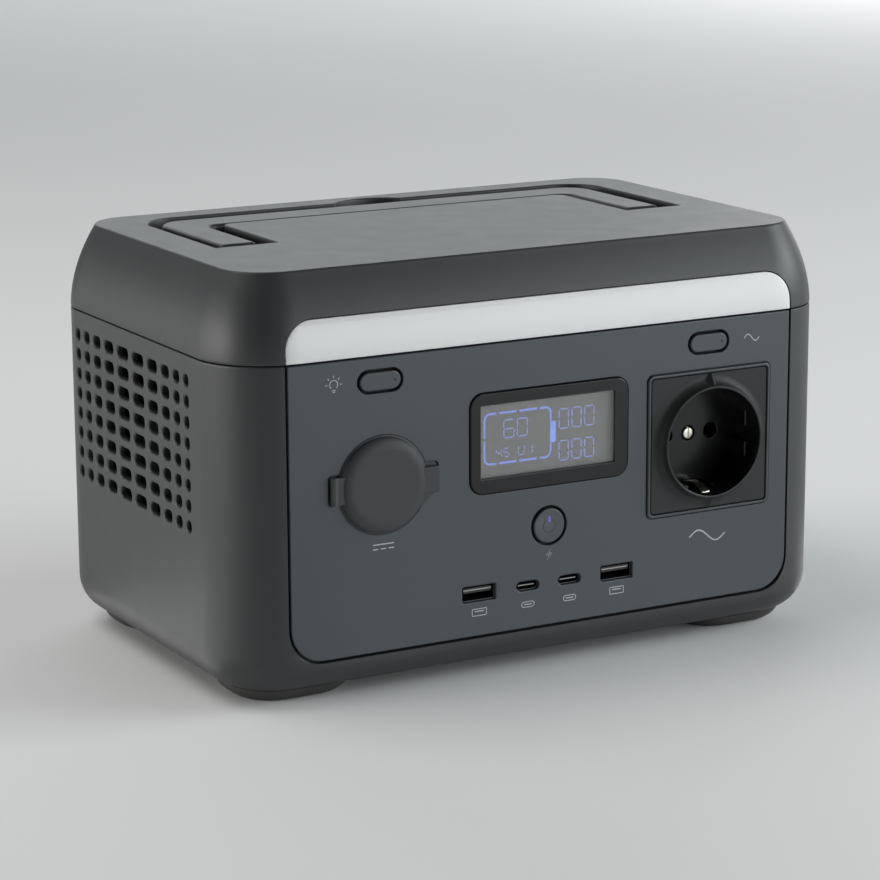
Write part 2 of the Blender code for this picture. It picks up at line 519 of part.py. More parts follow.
# ---------------------------------------------------------------- inside
def make_inside():
    y = PANEL_Y
    board = [(-40, 22), (40, 22), (40, 99), (80, 99), (80, 115), (-80, 115), (-80, 99), (-40, 99)]
    io_board = put("front_io_board", prism(board, y + 14.9, y + 16.5, "Y"))
    finish(io_board, (0.02, 0.16, 0.08), 0.45)

    tray = put("battery_tray", box((-104, 42), (-28, 48), (9.3, 34)))
    cut(tray, box((-101.5, 39.5), (-25.5, 45.5), (12, 60)))
    bosses = [
        lathe([(0, 9.3), (4.6, 9.3), (4.6, 21), (0, 21)], 12, "Z", (sx * SCREWS_X, sy * SCREWS_Y))
        for sx in (-1, 1)
        for sy in (-1, 1)
    ]
    arms = [
        box((-62, -54), (-56, -26), (9.3, 12.0)),
        box((-62, -54), (46, 56), (9.3, 12.0)),
        box((54, 62), (-56, 56), (9.3, 12.0)),
        box((40, 56), (-26, -18), (9.3, 12.0)),
        box((40, 56), (38, 46), (9.3, 12.0)),
    ]
    add(tray, *arms, joined(*bosses))
    holes = [
        prism(circle(1.8, 10, (sx * SCREWS_X, sy * SCREWS_Y)), 7, 19.5, "Z") for sx in (-1, 1) for sy in (-1, 1)
    ]
    cut(tray, joined(*holes))
    finish(tray, (0.05, 0.05, 0.05), 0.6, smooth=35)
    pack = put("battery_pack", box((-100.8, 38.8), (-24.8, 44.8), (12.4, 82)))
    bevel(pack, 4.0, 2, 30)
    finish(pack, (0.02, 0.1, 0.3), 0.4, smooth=40)
    bms = put("bms_board", box((-85, 25), (-15, 38), (86, 87.6)))
    add(bms, *(box((a, a + 12), (b, b + 10), (86.8, 91)) for a, b in ((-70, 5), (-45, 5), (-20, 5))))
    finish(bms, (0.02, 0.14, 0.07), 0.45)
    inverter = put("inverter_board", box((66, 98), (-30, 54), (20, 21.6)))
    finish(inverter, (0.02, 0.16, 0.08), 0.45)
    sink = put("inverter_heatsink", box((68, 96), (26, 52), (22, 27)))
    add(sink, *(box((a, a + 2), (26, 52), (26, 48)) for a in (68.0, 74.5, 81.0, 87.5, 94.0)))
    finish(sink, (0.6, 0.6, 0.62), 0.4, 1.0)
    core = put("inverter_transformer", box((68, 96), (-9, 21), (22, 48)))
    bevel(core, 1.5, 1)
    finish(core, (0.35, 0.26, 0.08), 0.5)
    for number, at in (("1", (75, -19)), ("2", (90, -19))):
        profile = [(0, 22), (6, 22), (6.5, 22.5), (6.5, 47.5), (6, 48), (0, 48)]
        can = put(f"inverter_capacitor_{number}", lathe(profile, 16, "Z", at))
        finish(can, (0.05, 0.06, 0.12), 0.35, smooth=35)


def make_fan():
    at, x0, x1, half = (FAN_Y, FAN_Z), FAN_X, FAN_X + FAN_T, FAN_SIZE / 2
    frame = put("cooling_fan_frame", prism(rounded(FAN_SIZE, FAN_SIZE, 4.0, 2, at), x0, x1, "X"))
    cut(frame, prism(circle(half - 2.0, 28, at), x0 - 2, x1 + 2, "X"))
    spider = put("cooling_fan_frame.spider", prism(circle(10.0, 16, at), x0, x0 + 2, "X"))
    add(spider, box((x0, x0 + 2), (at[0] - half + 1, at[0] + half - 1), (at[1] - 1.5, at[1] + 1.5)))
    add(spider, box((x0, x0 + 2.01), (at[0] - 1.5, at[0] + 1.5), (at[1] - half + 1, at[1] + half - 1)))
    spider.hide_render, spider.display_type = True, "WIRE"
    modifier = frame.modifiers.new("spider", "BOOLEAN")
    modifier.operation, modifier.object, modifier.solver = "UNION", spider, "EXACT"
    finish(frame, (0.02, 0.02, 0.02), 0.5, smooth=35)

    rotor = put("fan_rotor", lathe([(0, x0 + 2.6), (11, x0 + 2.6), (11, x1 - 2), (10, x1 - 1), (0, x1 - 1)], 20, "X", at))
    blades = []
    for k in range(7):
        turn = 2 * math.pi * k / 7
        rings = []
        for r, lean in ((9.0, 0.20), (26.0, 0.16)):
            ring = []
            for a, swing in ((x0 + 3.4, -lean), (x0 + 3.4, -lean + 1.4 / r), (x1 - 2.2, lean), (x1 - 2.2, lean - 1.4 / r)):
                ring.append((a, at[0] + r * math.cos(turn + swing), at[1] + r * math.sin(turn + swing)))
            rings.append(ring)
        blades.append(loft(rings))
    add(rotor, joined(*blades))
    finish(rotor, (0.03, 0.03, 0.03), 0.45, smooth=35)


def main():
    for obj in list(bpy.data.objects):
        bpy.data.objects.remove(obj)
    make_lower_shell()
    make_lid()
    make_handle()
    make_feet_and_screws()
    make_front_panel()
    make_light_bar()
    make_buttons()
    make_display()
    make_ac_socket()
    make_dc_socket()
    make_usb_ports()
    make_charge_inlet()
    make_inside()
    make_fan()


main()
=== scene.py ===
import json
import math

import bmesh
import bpy
from mathutils import Matrix, Vector


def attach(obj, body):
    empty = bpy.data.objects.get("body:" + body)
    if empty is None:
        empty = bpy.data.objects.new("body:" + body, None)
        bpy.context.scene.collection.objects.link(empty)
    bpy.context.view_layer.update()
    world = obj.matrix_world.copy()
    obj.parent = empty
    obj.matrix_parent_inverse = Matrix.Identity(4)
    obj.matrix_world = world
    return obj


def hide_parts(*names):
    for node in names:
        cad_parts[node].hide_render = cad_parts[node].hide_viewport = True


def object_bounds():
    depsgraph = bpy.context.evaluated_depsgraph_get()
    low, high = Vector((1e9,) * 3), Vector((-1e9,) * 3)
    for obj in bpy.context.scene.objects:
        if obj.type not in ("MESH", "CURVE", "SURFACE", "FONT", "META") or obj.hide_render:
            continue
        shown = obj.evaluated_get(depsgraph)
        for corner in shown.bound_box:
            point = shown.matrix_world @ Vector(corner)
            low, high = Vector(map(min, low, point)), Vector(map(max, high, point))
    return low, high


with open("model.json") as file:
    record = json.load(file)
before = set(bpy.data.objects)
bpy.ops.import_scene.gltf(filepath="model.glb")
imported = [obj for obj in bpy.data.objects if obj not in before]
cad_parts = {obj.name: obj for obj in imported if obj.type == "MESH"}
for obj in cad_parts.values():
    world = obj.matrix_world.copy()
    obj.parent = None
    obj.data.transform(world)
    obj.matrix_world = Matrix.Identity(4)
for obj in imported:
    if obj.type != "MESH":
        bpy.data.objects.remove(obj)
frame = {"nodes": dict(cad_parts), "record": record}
for startup in ("Cube", "Light", "Camera"):
    if startup in bpy.data.objects:
        bpy.data.objects.remove(bpy.data.objects[startup])
cad_low, cad_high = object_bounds()

# Millimetres, in the frame of the part's own source: Y = 0 is the middle of the body.
WIDTH, DEPTH, CORNER_R, WALL = 240.0, 154.0, 25.5, 2.6
SHELL_Z, PART_Z, TOP_Z = 4.0, 117.7, 147.1
BOTTOM_ROUND, LID_INSET, LID_CURVE = 14.0, 9.6, 1.9
FRONT, BACK = -DEPTH / 2, DEPTH / 2
SHIFT_Y = cad_high.y * 1000 - BACK
PANEL_Y, PANEL_T = FRONT + 0.4, 2.5
PANEL_X, PANEL_Z, PANEL_R, PANEL_GAP = 99.2, 16.0, 12.0, 0.9
LENS_TOP, LENS_R = 131.3, 10.0
PILLS = {"led_light": (-65.2, 109.2), "ac_output": (65.0, 109.2)}
PILL_HOLE, POWER, POWER_HOLE_R, BUTTON_GAP = (17.2, 8.2), (0.0, 51.4), 7.1, 1.0
DISPLAY, DISPLAY_SIZE, DISPLAY_R = (0.2, 83.2), (62.9, 35.0), 5.0
WINDOW, WINDOW_SIZE, LCD_DEEP = (-0.4, 83.6), (53.6, 25.6), 2.8
BATTERY_BOX = (-24.0, 2.2, 75.0, 92.5)
SOCKET, PLATE, COLLAR_R, RECESS_R = (65.5, 74.0), 48.3, 20.0, 19.2
COLLAR_OUT, RECESS_DEPTH, PIN_X = 4.0, 17.0, 9.5
DC, DC_RING_R, DC_CAP_R = (-64.6, 73.8), 17.15, 16.0
CAP_AXIS_X, CAP_AXIS_Y = DC[0] - 18.6, PANEL_Y - 0.9
USB_A = {"usb_a1": -27.7, "usb_a2": 27.7}
USB_C = {"usb_c1": -8.4, "usb_c2": 8.4}
USB_Z, USB_A_SIZE, USB_C_SIZE = 31.0, (13.0, 5.6), (9.0, 3.4)
VENT_ROWS, VENT_PITCH, VENT_Z, VENT_H = 8, 7.15, 58.8, 4.3
VENT_WIDTHS = (4.0, 5.1, 6.5, 8.1, 9.6, 9.6, 8.1, 6.5, 5.1, 4.0)
VENT_WEB, VENT_Y = 3.35, 4.5
SLOT = {"x_out": 94.3, "x_in": 71.0, "y0": -13.0, "y_in": 33.4, "y1": 56.0, "r_out": 14.0, "r_in": 4.0}
HANDLE = {"x_out": 89.5, "x_in": 75.5, "y0": -6.5, "y_in": 36.4, "y1": 52.4, "r_out": 11.0, "r_in": 5.0}
SLOT_FLOOR, POCKET_WALL, HANDLE_Z = 132.5, 2.3, (137.6, 146.6)
PIVOT_Y, PIVOT_Z, PIN_R = 0.5, 142.1, 2.0
SCOOP_X, SCOOP_Y = 15.0, 62.0
FOOT = {"x": 89.0, "y": 48.0, "w": 36.0, "d": 30.0, "r": 12.0}
INLET = (78.0, 38.0)
SCREWS = [(x, y) for x in (-58.0, 58.0) for y in (-54.0, 54.0)]


# ---------------------------------------------------------------- mesh helpers
def rounded(w, h, r, seg=8, at=(0.0, 0.0), lead=0.0):
    """Rounded rectangle, counter-clockwise. lead adds a point that far from each end of an arc."""
    points = []
    for i, (sx, sy) in enumerate(((1, 1), (-1, 1), (-1, -1), (1, -1))):
        angles = [math.pi / 2 * (i + k / seg) for k in range(seg + 1)]
        corner = [
            (at[0] + sx * (w / 2 - r) + r * math.cos(a), at[1] + sy * (h / 2 - r) + r * math.sin(a))
            for a in angles
        ]
        if lead:
            for a, end, index in ((angles[0], corner[0], 0), (angles[-1], corner[-1], len(corner) + 1)):
                way = -1 if index == 0 else 1
                corner.insert(index, (end[0] - way * lead * math.sin(a), end[1] + way * lead * math.cos(a)))
        points += corner
    return points


def circle(r, seg=64, at=(0.0, 0.0)):
    turn = 2 * math.pi / seg
    return [(at[0] + r * math.cos(k * turn), at[1] + r * math.sin(k * turn)) for k in range(seg)]


def arc(cx, cy, r, a0, a1, seg):
    angles = [math.radians(a0 + (a1 - a0) * k / seg) for k in range(seg + 1)]
    return [(cx + r * math.cos(a), cy + r * math.sin(a)) for a in angles]


def quarter(steps):
    """Angles that divide a quarter turn into steps."""
    return [math.pi / 2 * k / steps for k in range(steps + 1)]


def place(u, v, a, axis):
    return {"X": (a, u, v), "Y": (u, a, v), "Z": (u, v, a)}[axis]


def loft(rings):
    n = len(rings[0])
    points = [p for ring in rings for p in ring]
    faces = [
        (i * n + k, i * n + (k + 1) % n, (i + 1) * n + (k + 1) % n, (i + 1) * n + k)
        for i in range(len(rings) - 1)
        for k in range(n)
    ]
    faces += [tuple(range(n))[::-1], tuple(range((len(rings) - 1) * n, len(rings) * n))]
    return points, faces


def stack(outline, levels, axis):
    """Loft of outline(grow) at each (distance, grow)."""
    return loft([[place(u, v, a, axis) for u, v in outline(grow)] for a, grow in levels])


def prism(outline, a0, a1, axis):
    return loft([[place(u, v, a, axis) for u, v in outline] for a in (a0, a1)])


def box(x, y, z):
    return prism([(x[0], y[0]), (x[1], y[0]), (x[1], y[1]), (x[0], y[1])], z[0], z[1], "Z")


def lathe(profile, seg, axis, at=(0.0, 0.0)):
    points, rings, faces = [], [], []
    for r, a in profile:
        ring = [(at[0], at[1])] if r == 0 else circle(r, seg, at)
        rings.append(range(len(points), len(points) + len(ring)))
        points += [place(u, v, a, axis) for u, v in ring]
    closed = profile[0][0] != 0
    for i in range(len(rings) - (0 if closed else 1)):
        a, b = rings[i], rings[(i + 1) % len(rings)]
        for k in range(seg):
            corners = (a[k % len(a)], a[(k + 1) % seg % len(a)], b[(k + 1) % seg % len(b)], b[k % len(b)])
            faces.append(tuple(dict.fromkeys(corners)))
    return points, [f for f in faces if len(f) > 2]


def joined(*solids):
    points, faces = [], []
    for more, sides in solids:
        faces += [tuple(i + len(points) for i in side) for side in sides]
        points += more
    return points, faces


def edge_levels(a0, a1, r0, r1, steps=4):
    """(distance, grow) down a solid whose two ends have rounded edges of radius r0 and r1."""
    way = 1 if a1 > a0 else -1
    first, last = [(a0, 0.0)], [(a1, 0.0)]
    if r0:
        first = [(a0 + way * r0 * (1 - math.cos(t)), -r0 * (1 - math.sin(t))) for t in quarter(steps)]
    if r1:
        last = [(a1 - way * r1 * (1 - math.cos(t)), -r1 * (1 - math.sin(t))) for t in quarter(steps)]
    return first + last[::-1]


def lip_levels(a0, a1, r, steps=4, over=2.0):
    """(distance, grow) of a cutter that leaves a rounded lip of radius r where it enters at a0."""
    way = 1 if a1 > a0 else -1
    return [
        (a0 - way * over, r),
        *((a0 + way * r * (1 - math.cos(t)), r * (1 - math.sin(t))) for t in quarter(steps)),
        (a1, 0.0),
    ]


def raised(outline, y0, y1, r0, r1=0.0, steps=4):
    """Solid of outline(grow) along Y, with its two ends' edges rounded to r0 and r1."""
    return stack(outline, edge_levels(y0, y1, r0, r1, steps), "Y")


def recess(outline, y0, y1, r, steps=4):
    """Cutter of outline(grow) along Y, entering at y0 with a rounded lip."""
    return stack(outline, lip_levels(y0, y1, r, steps), "Y")


def link(obj):
    bpy.context.scene.collection.objects.link(obj)
    return obj


def make_object(name, solid):
    points, faces = solid
    mesh = bpy.data.meshes.new(name)
    mesh.from_pydata([(p[0] / 1000, (p[1] + SHIFT_Y) / 1000, p[2] / 1000) for p in points], [], faces)
    work = bmesh.new()
    work.from_mesh(mesh)
    bmesh.ops.recalc_face_normals(work, faces=work.faces)
    work.to_mesh(mesh)
    work.free()
    return link(bpy.data.objects.new(name, mesh))


def solid_of(obj):
    """The points and faces of an object made by make_object, in its own millimetres."""
    points = [(v.co.x * 1000, v.co.y * 1000 - SHIFT_Y, v.co.z * 1000) for v in obj.data.vertices]
    return points, [tuple(polygon.vertices) for polygon in obj.data.polygons]


def evaluated_mesh(obj):
    bpy.context.view_layer.update()
    graph = bpy.context.evaluated_depsgraph_get()
    return bpy.data.meshes.new_from_object(obj.evaluated_get(graph))


def bake(obj):
    """Replaces an object's mesh with what its modifiers make of it."""
    mesh = evaluated_mesh(obj)
    obj.modifiers.clear()
    old = obj.data
    obj.data = mesh
    bpy.data.meshes.remove(old)


def boolean(obj, operation, *solids, paint=None):
    """Cuts, adds or intersects solids. Faces left by a painted solid take that material."""
    tools = []
    for solid in solids:
        tool = make_object("tool", solid)
        if paint is not None:
            tool.data.materials.append(paint)
        modifier = obj.modifiers.new("shape", "BOOLEAN")
        modifier.operation, modifier.object, modifier.solver = operation, tool, "EXACT"
        if paint is not None:
            modifier.material_mode = "TRANSFER"
        tools.append(tool)
    bake(obj)
    for tool in tools:
        bpy.data.objects.remove(tool)


def cut(obj, *solids, paint=None):
    boolean(obj, "DIFFERENCE", *solids, paint=paint)


def add(obj, *solids, paint=None):
    boolean(obj, "UNION", *solids, paint=paint)


def bevel(obj, width, angle=30):
    """Rounds every edge sharper than angle degrees to width millimetres."""
    modifier = obj.modifiers.new("edges", "BEVEL")
    modifier.width, modifier.segments, modifier.angle_limit = width / 1000, 2, math.radians(angle)
    bake(obj)


def flat_faces_flat(obj, least=4e-6):
    """Gives each face square to an axis, if over least square metres, one exact normal up to its edges."""
    mesh = obj.data
    normals = [Vector(corner.vector) for corner in mesh.corner_normals]
    owners = {}
    for polygon in mesh.polygons:
        n = polygon.normal
        if polygon.area < least or max(abs(c) for c in n) < 0.99999:
            continue
        exact = Vector(round(c) for c in n)
        for vertex in polygon.vertices:
            owners.setdefault(vertex, []).append(exact)
    for polygon in mesh.polygons:
        for loop, vertex in zip(polygon.loop_indices, polygon.vertices):
            for exact in owners.get(vertex, ()):
                if exact.dot(polygon.normal) > 0.8:
                    normals[loop] = exact
    mesh.normals_split_custom_set(normals)


def dress(obj, material, body="case", stands_for=(), smooth=35.0, weighted=True):
    """Material, shading, body and material slot of a finished piece."""
    if material and not obj.data.materials:
        obj.data.materials.append(material)
    elif material:
        obj.data.materials[0] = material
    obj.data.shade_smooth()
    obj.data.set_sharp_from_angle(angle=math.radians(smooth))
    if weighted:
        flat_faces_flat(obj)
    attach(obj, body)
    if stands_for:
        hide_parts(*stands_for)
    return obj


# ---------------------------------------------------------------- materials
def tree_of(name):
    """A new material, its nodes, links, shader and object coordinates."""
    material = bpy.data.materials.new(name)
    material.use_nodes = True
    nodes, links = material.node_tree.nodes, material.node_tree.links
    coords = nodes.new("ShaderNodeTexCoord").outputs["Object"]
    return material, nodes, links, nodes["Principled BSDF"], coords


def noise(nodes, links, coords, scale, detail=3.0, rough=0.55):
    node = nodes.new("ShaderNodeTexNoise")
    node.inputs["Scale"].default_value = scale
    node.inputs["Detail"].default_value = detail
    node.inputs["Roughness"].default_value = rough
    links.new(coords, node.inputs["Vector"])
    return node.outputs["Fac"]


def ramp(nodes, links, value, low, high, a, b):
    """Maps value from low..high to the colours or numbers a..b."""
    node = nodes.new("ShaderNodeMapRange")
    node.inputs["From Min"].default_value, node.inputs["From Max"].default_value = low, high
    node.inputs["To Min"].default_value, node.inputs["To Max"].default_value = a, b
    links.new(value, node.inputs["Value"])
    return node.outputs["Result"]


def mix(nodes, links, factor, a, b):
    node = nodes.new("ShaderNodeMix")
    node.data_type = "RGBA"
    links.new(factor, node.inputs[0])
    for socket, value in ((node.inputs[6], a), (node.inputs[7], b)):
        if isinstance(value, tuple):
            socket.default_value = (*value, 1.0)
        else:
            links.new(value, socket)
    return node.outputs[2]


def bumped(nodes, links, shader, height, strength, depth):
    bump = nodes.new("ShaderNodeBump")
    bump.inputs["Strength"].default_value = strength
    bump.inputs["Distance"].default_value = depth
    links.new(height, bump.inputs["Height"])
    links.new(bump.outputs["Normal"], shader.inputs["Normal"])


def moulded(name, color, rough, grain=0.55, depth=0.02, vary=0.10, wear=0.0, spec=0.5, metal=0.0, coat=0.0):
    """Moulded plastic, rubber or metal, with mottled colour, pale worn edges and a grain in millimetres."""
    material, nodes, links, shader, coords = tree_of(name)
    cloud = noise(nodes, links, coords, 22.0, 4.0)
    fine = noise(nodes, links, coords, 1000.0 / grain, 2.0, 0.6)
    dark = tuple(c * (1 - vary) for c in color)
    light = tuple(min(1.0, c * (1 + vary)) for c in color)
    base = mix(nodes, links, ramp(nodes, links, cloud, 0.3, 0.7, 0.0, 1.0), dark, light)
    speck = ramp(nodes, links, fine, 0.35, 0.65, 0.0, 0.35)
    base = mix(nodes, links, speck, base, light)
    if wear:
        point = nodes.new("ShaderNodeNewGeometry").outputs["Pointiness"]
        edge = ramp(nodes, links, point, 0.53, 0.60, 0.0, wear)
        base = mix(nodes, links, edge, base, tuple(min(1.0, c * 2.2 + 0.02) for c in color))
    links.new(base, shader.inputs["Base Color"])
    drift = noise(nodes, links, coords, 90.0, 3.0)
    links.new(ramp(nodes, links, drift, 0.3, 0.7, rough - 0.02, rough + 0.02), shader.inputs["Roughness"])
    shader.inputs["Metallic"].default_value = metal
    shader.inputs["Specular IOR Level"].default_value = spec
    shader.inputs["Coat Weight"].default_value = coat
    if depth:
        bumped(nodes, links, shader, fine, 0.6, depth / 1000)
    return material


def brushed(name, color, rough, stretch=(1.0, 1.0, 18.0), scale=900.0):
    """Metal with a drawn or brushed direction."""
    material, nodes, links, shader, coords = tree_of(name)
    mapping = nodes.new("ShaderNodeMapping")
    mapping.inputs["Scale"].default_value = stretch
    links.new(coords, mapping.inputs["Vector"])
    lines = noise(nodes, links, mapping.outputs["Vector"], scale, 3.0)
    base = mix(nodes, links, lines, tuple(c * 0.8 for c in color), tuple(min(1.0, c * 1.08) for c in color))
    links.new(base, shader.inputs["Base Color"])
    links.new(ramp(nodes, links, lines, 0.3, 0.7, rough - 0.07, rough + 0.1), shader.inputs["Roughness"])
    shader.inputs["Metallic"].default_value = 1.0
    return material


def lit(name, color, strength, base=(0.1, 0.1, 0.2)):
    """Lit display segment or lamp, a little uneven."""
    material, nodes, links, shader, coords = tree_of(name)
    patch = ramp(nodes, links, noise(nodes, links, coords, 160.0, 2.0), 0.3, 0.7, 0.0, 1.0)
    glow = mix(nodes, links, patch, tuple(c * 0.8 for c in color), color)
    links.new(glow, shader.inputs["Emission Color"])
    shader.inputs["Emission Strength"].default_value = strength
    shader.inputs["Base Color"].default_value = (*base, 1.0)
    shader.inputs["Roughness"].default_value = 0.5
    return material


def printed_board(name, color, copper):
    material, nodes, links, shader, coords = tree_of(name)
    cells = nodes.new("ShaderNodeTexVoronoi")
    cells.inputs["Scale"].default_value = 260.0
    links.new(coords, cells.inputs["Vector"])
    pads = ramp(nodes, links, cells.outputs["Distance"], 0.14, 0.2, 1.0, 0.0)
    traces = ramp(nodes, links, noise(nodes, links, coords, 70.0, 1.0), 0.49, 0.51, 0.0, 0.35)
    base = mix(nodes, links, traces, color, tuple(c * 1.5 for c in color))
    links.new(mix(nodes, links, pads, base, copper), shader.inputs["Base Color"])
    shader.inputs["Roughness"].default_value = 0.4
    return material


def frosted(name):
    """Frosted white diffuser: a faint haze of texture and light inside, and painted shade that leaves it
    darker towards the bottom.
    """
    material, nodes, links, shader, coords = tree_of(name)
    split = nodes.new("ShaderNodeSeparateXYZ")
    links.new(coords, split.inputs["Vector"])
    # Painted shade: the lens's colour runs from darker at the bottom to lighter at the top.
    height = ramp(nodes, links, split.outputs["Z"], PART_Z / 1000, LENS_TOP / 1000, 0.0, 1.0)
    base = mix(nodes, links, height, (0.68, 0.68, 0.675), (0.74, 0.735, 0.725))
    haze = noise(nodes, links, coords, 60.0, 3.0)
    base = mix(nodes, links, ramp(nodes, links, haze, 0.3, 0.7, 0.0, 0.10), base, (0.64, 0.64, 0.64))
    links.new(base, shader.inputs["Base Color"])
    shader.inputs["Roughness"].default_value = 0.38
    shader.inputs["Subsurface Weight"].default_value = 0.25
    shader.inputs["Subsurface Radius"].default_value = (1.0, 1.0, 1.0)
    shader.inputs["Subsurface Scale"].default_value = 0.002
    bumped(nodes, links, shader, noise(nodes, links, coords, 2200.0, 2.0), 0.4, 0.00001)
    return material


def smoked_glass(name):
    material, nodes, links, shader, coords = tree_of(name)
    smear = noise(nodes, links, coords, 45.0, 5.0)
    links.new(ramp(nodes, links, smear, 0.35, 0.7, 0.04, 0.16), shader.inputs["Roughness"])
    shader.inputs["Base Color"].default_value = (0.62, 0.62, 0.6, 1.0)
    shader.inputs["Alpha"].default_value = 0.16
    shader.inputs["IOR"].default_value = 1.49
    return material


LCD_GLOW = (0.04, 0.05, 0.12)
MAT = {
    "shell": moulded("shell_plastic", (0.026, 0.0275, 0.029), 0.46, vary=0.04, wear=0.25),
    "panel": moulded(
        "panel_plastic", (0.0355, 0.0425, 0.0495), 0.45, grain=0.5, depth=0.012, vary=0.04, wear=0.2
    ),
    "frame": moulded("socket_frame_plastic", (0.034, 0.038, 0.042), 0.42, depth=0.01, vary=0.04, wear=0.3),
    "socket": moulded(
        "socket_plastic", (0.005, 0.0052, 0.0055), 0.24, grain=0.9, depth=0.0, vary=0.08, spec=0.35
    ),
    "plate": moulded(
        "socket_plate_plastic", (0.0155, 0.0170, 0.0175), 0.55, 0.6, 0.01, vary=0.05, wear=0.2, spec=0.28
    ),
    # Painted highlight: a pale grey that stands for the light caught by the front edges of the socket's
    # ribs.
    "painted_rib_highlight": moulded("socket_rib_highlight_paint", (0.11, 0.115, 0.12), 0.4, vary=0.08),
    "bezel": moulded("bezel_plastic", (0.005, 0.005, 0.0055), 0.34, grain=3.0, depth=0.003, spec=0.3),
    "button": moulded("button_plastic", (0.036, 0.040, 0.044), 0.44, 0.5, 0.01, vary=0.05, wear=0.3),
    "gasket": moulded("black_gasket", (0.006, 0.006, 0.006), 0.7, vary=0.15),
    "cap": moulded("cap_rubber", (0.0295, 0.0315, 0.0335), 0.60, 0.7, 0.02, vary=0.08, wear=0.3, spec=0.4),
    "foot": moulded("foot_rubber", (0.045, 0.043, 0.041), 0.6, 0.9, 0.05, vary=0.12, spec=0.35),
    "black": moulded("black_plastic", (0.018, 0.018, 0.019), 0.45, vary=0.12, wear=0.2),
    "tongue": moulded("tongue_plastic", (0.020, 0.020, 0.021), 0.45, vary=0.08, spec=0.3),
    # Painted highlight: a pale grey that stands for the light caught by the front edge of a USB tongue.
    "painted_tongue_highlight": moulded("tongue_highlight_paint", (0.30, 0.30, 0.29), 0.45, vary=0.08),
    "lens": frosted("lens_plastic"),
    "glass": smoked_glass("window_glass"),
    "steel": brushed("drawn_steel", (0.62, 0.62, 0.64), 0.3),
    "brass": brushed("brass", (0.80, 0.68, 0.42), 0.26, scale=1500.0),
    "screw": brushed("plated_screw", (0.84, 0.82, 0.74), 0.3, scale=1500.0),
    "nickel": brushed("nickel_spring", (0.74, 0.71, 0.62), 0.25, stretch=(1.0, 12.0, 1.0)),
    "zinc": brushed("black_zinc", (0.07, 0.07, 0.072), 0.4),
    "alu": brushed("extruded_aluminium", (0.62, 0.63, 0.65), 0.35, stretch=(1.0, 0.1, 1.0)),
    "board": printed_board("board_green", (0.012, 0.10, 0.045), (0.62, 0.48, 0.22)),
    "led_board": printed_board("board_white", (0.62, 0.62, 0.60), (0.55, 0.5, 0.35)),
    "sleeve": moulded("battery_sleeve", (0.012, 0.014, 0.02), 0.25, 4.0, 0.1, vary=0.15, coat=0.4),
    "copper": moulded("wound_copper", (0.36, 0.17, 0.05), 0.35, 1.2, 0.2, vary=0.2, metal=0.7),
    "lcd": moulded("lcd_ground", (0.050, 0.0512, 0.0535), 0.35, grain=2.0, depth=0.0, vary=0.05),
    "ink": moulded("white_ink", (0.36, 0.37, 0.38), 0.55, vary=0.08, depth=0.0),
    "ink_dark": moulded("icon_engraving", (0.016, 0.015, 0.02), 0.5, depth=0.0),
    "segment": lit("lcd_segment", (0.11, 0.20, 0.84), 0.95, LCD_GLOW),
    "segment_dim": lit("lcd_segment_dim", (0.16, 0.21, 0.72), 0.85, LCD_GLOW),
    "segment_bright": lit("lcd_segment_bright", (0.12, 0.27, 0.88), 1.0, LCD_GLOW),
    "blue_lamp": lit("blue_lamp", (0.05, 0.03, 0.75), 0.9),
}


# ---------------------------------------------------------------- shells
def body_ring(inset, z, seg=20):
    outline = rounded(WIDTH - 2 * inset, DEPTH - 2 * inset, CORNER_R - inset, seg, lead=0.8)
    return [(x, y, z) for x, y in outline]


def lid_inset(z):
    return LID_INSET * max(0.0, (z - PART_Z) / (TOP_Z - PART_Z)) ** LID_CURVE


def lid_solid(z0, z1, offset=0.0, edge=0.0, foot=0.0, before=()):
    """The lid's outer form between two heights, with a rounded top edge and a small rounded lower one."""
    rings = list(before)
    if foot:
        for t in (0, 0.5, 1.0):
            rings.append(body_ring(offset + foot * (1 - math.sin(t)), z0 + foot * (1 - math.cos(t))))
        rings.append(body_ring(offset, z0 + foot))
    else:
        rings.append(body_ring(lid_inset(z0) + offset, z0))
    steps = 18
    start, end = z0 + max(foot, 0.4) + 0.6, z1 - edge
    for k in range(steps + 1):
        z = start + (end - start) * k / steps
        rings.append(body_ring(lid_inset(z) + offset, z))
    if edge:
        slope = 0.75
        for k in range(1, 6):
            t = slope + (math.pi / 2 - slope) * k / 5
            inset = lid_inset(end) + offset + edge * (math.cos(slope) - math.cos(t)) * 1.35
            rise = edge * (math.sin(t) - math.sin(slope)) / (1 - math.sin(slope))
            rings.append(body_ring(inset, end + rise))
    return loft(rings)


def tub_solid(offset, top, edge=0.0):
    """The lower body's form, with a round bottom edge and, with edge, a rounded top one."""
    radius = BOTTOM_ROUND - offset
    rings = []
    for a in quarter(12):
        low = SHELL_Z + offset + radius * (1 - math.cos(a))
        rings.append(body_ring(offset + radius * (1 - math.sin(a)), low))
    rings.append(body_ring(offset, SHELL_Z + BOTTOM_ROUND + 0.8))
    if edge:
        rings.append(body_ring(offset, top - edge - 0.6))
        for t in (1.57, 1.0, 0.5, 0.0):
            rings.append(body_ring(offset + edge * (1 - math.sin(t)), top - edge * (1 - math.cos(t))))
    else:
        rings.append(body_ring(offset, top))
    return loft(rings)


def grown(shape, grow):
    """The sides and radii of a U, grown by grow."""
    outward = [shape[key] + grow for key in ("x_out", "y1", "r_out")]
    inward = [shape[key] - grow for key in ("x_in", "y0", "y_in", "r_in")]
    return *outward, *inward


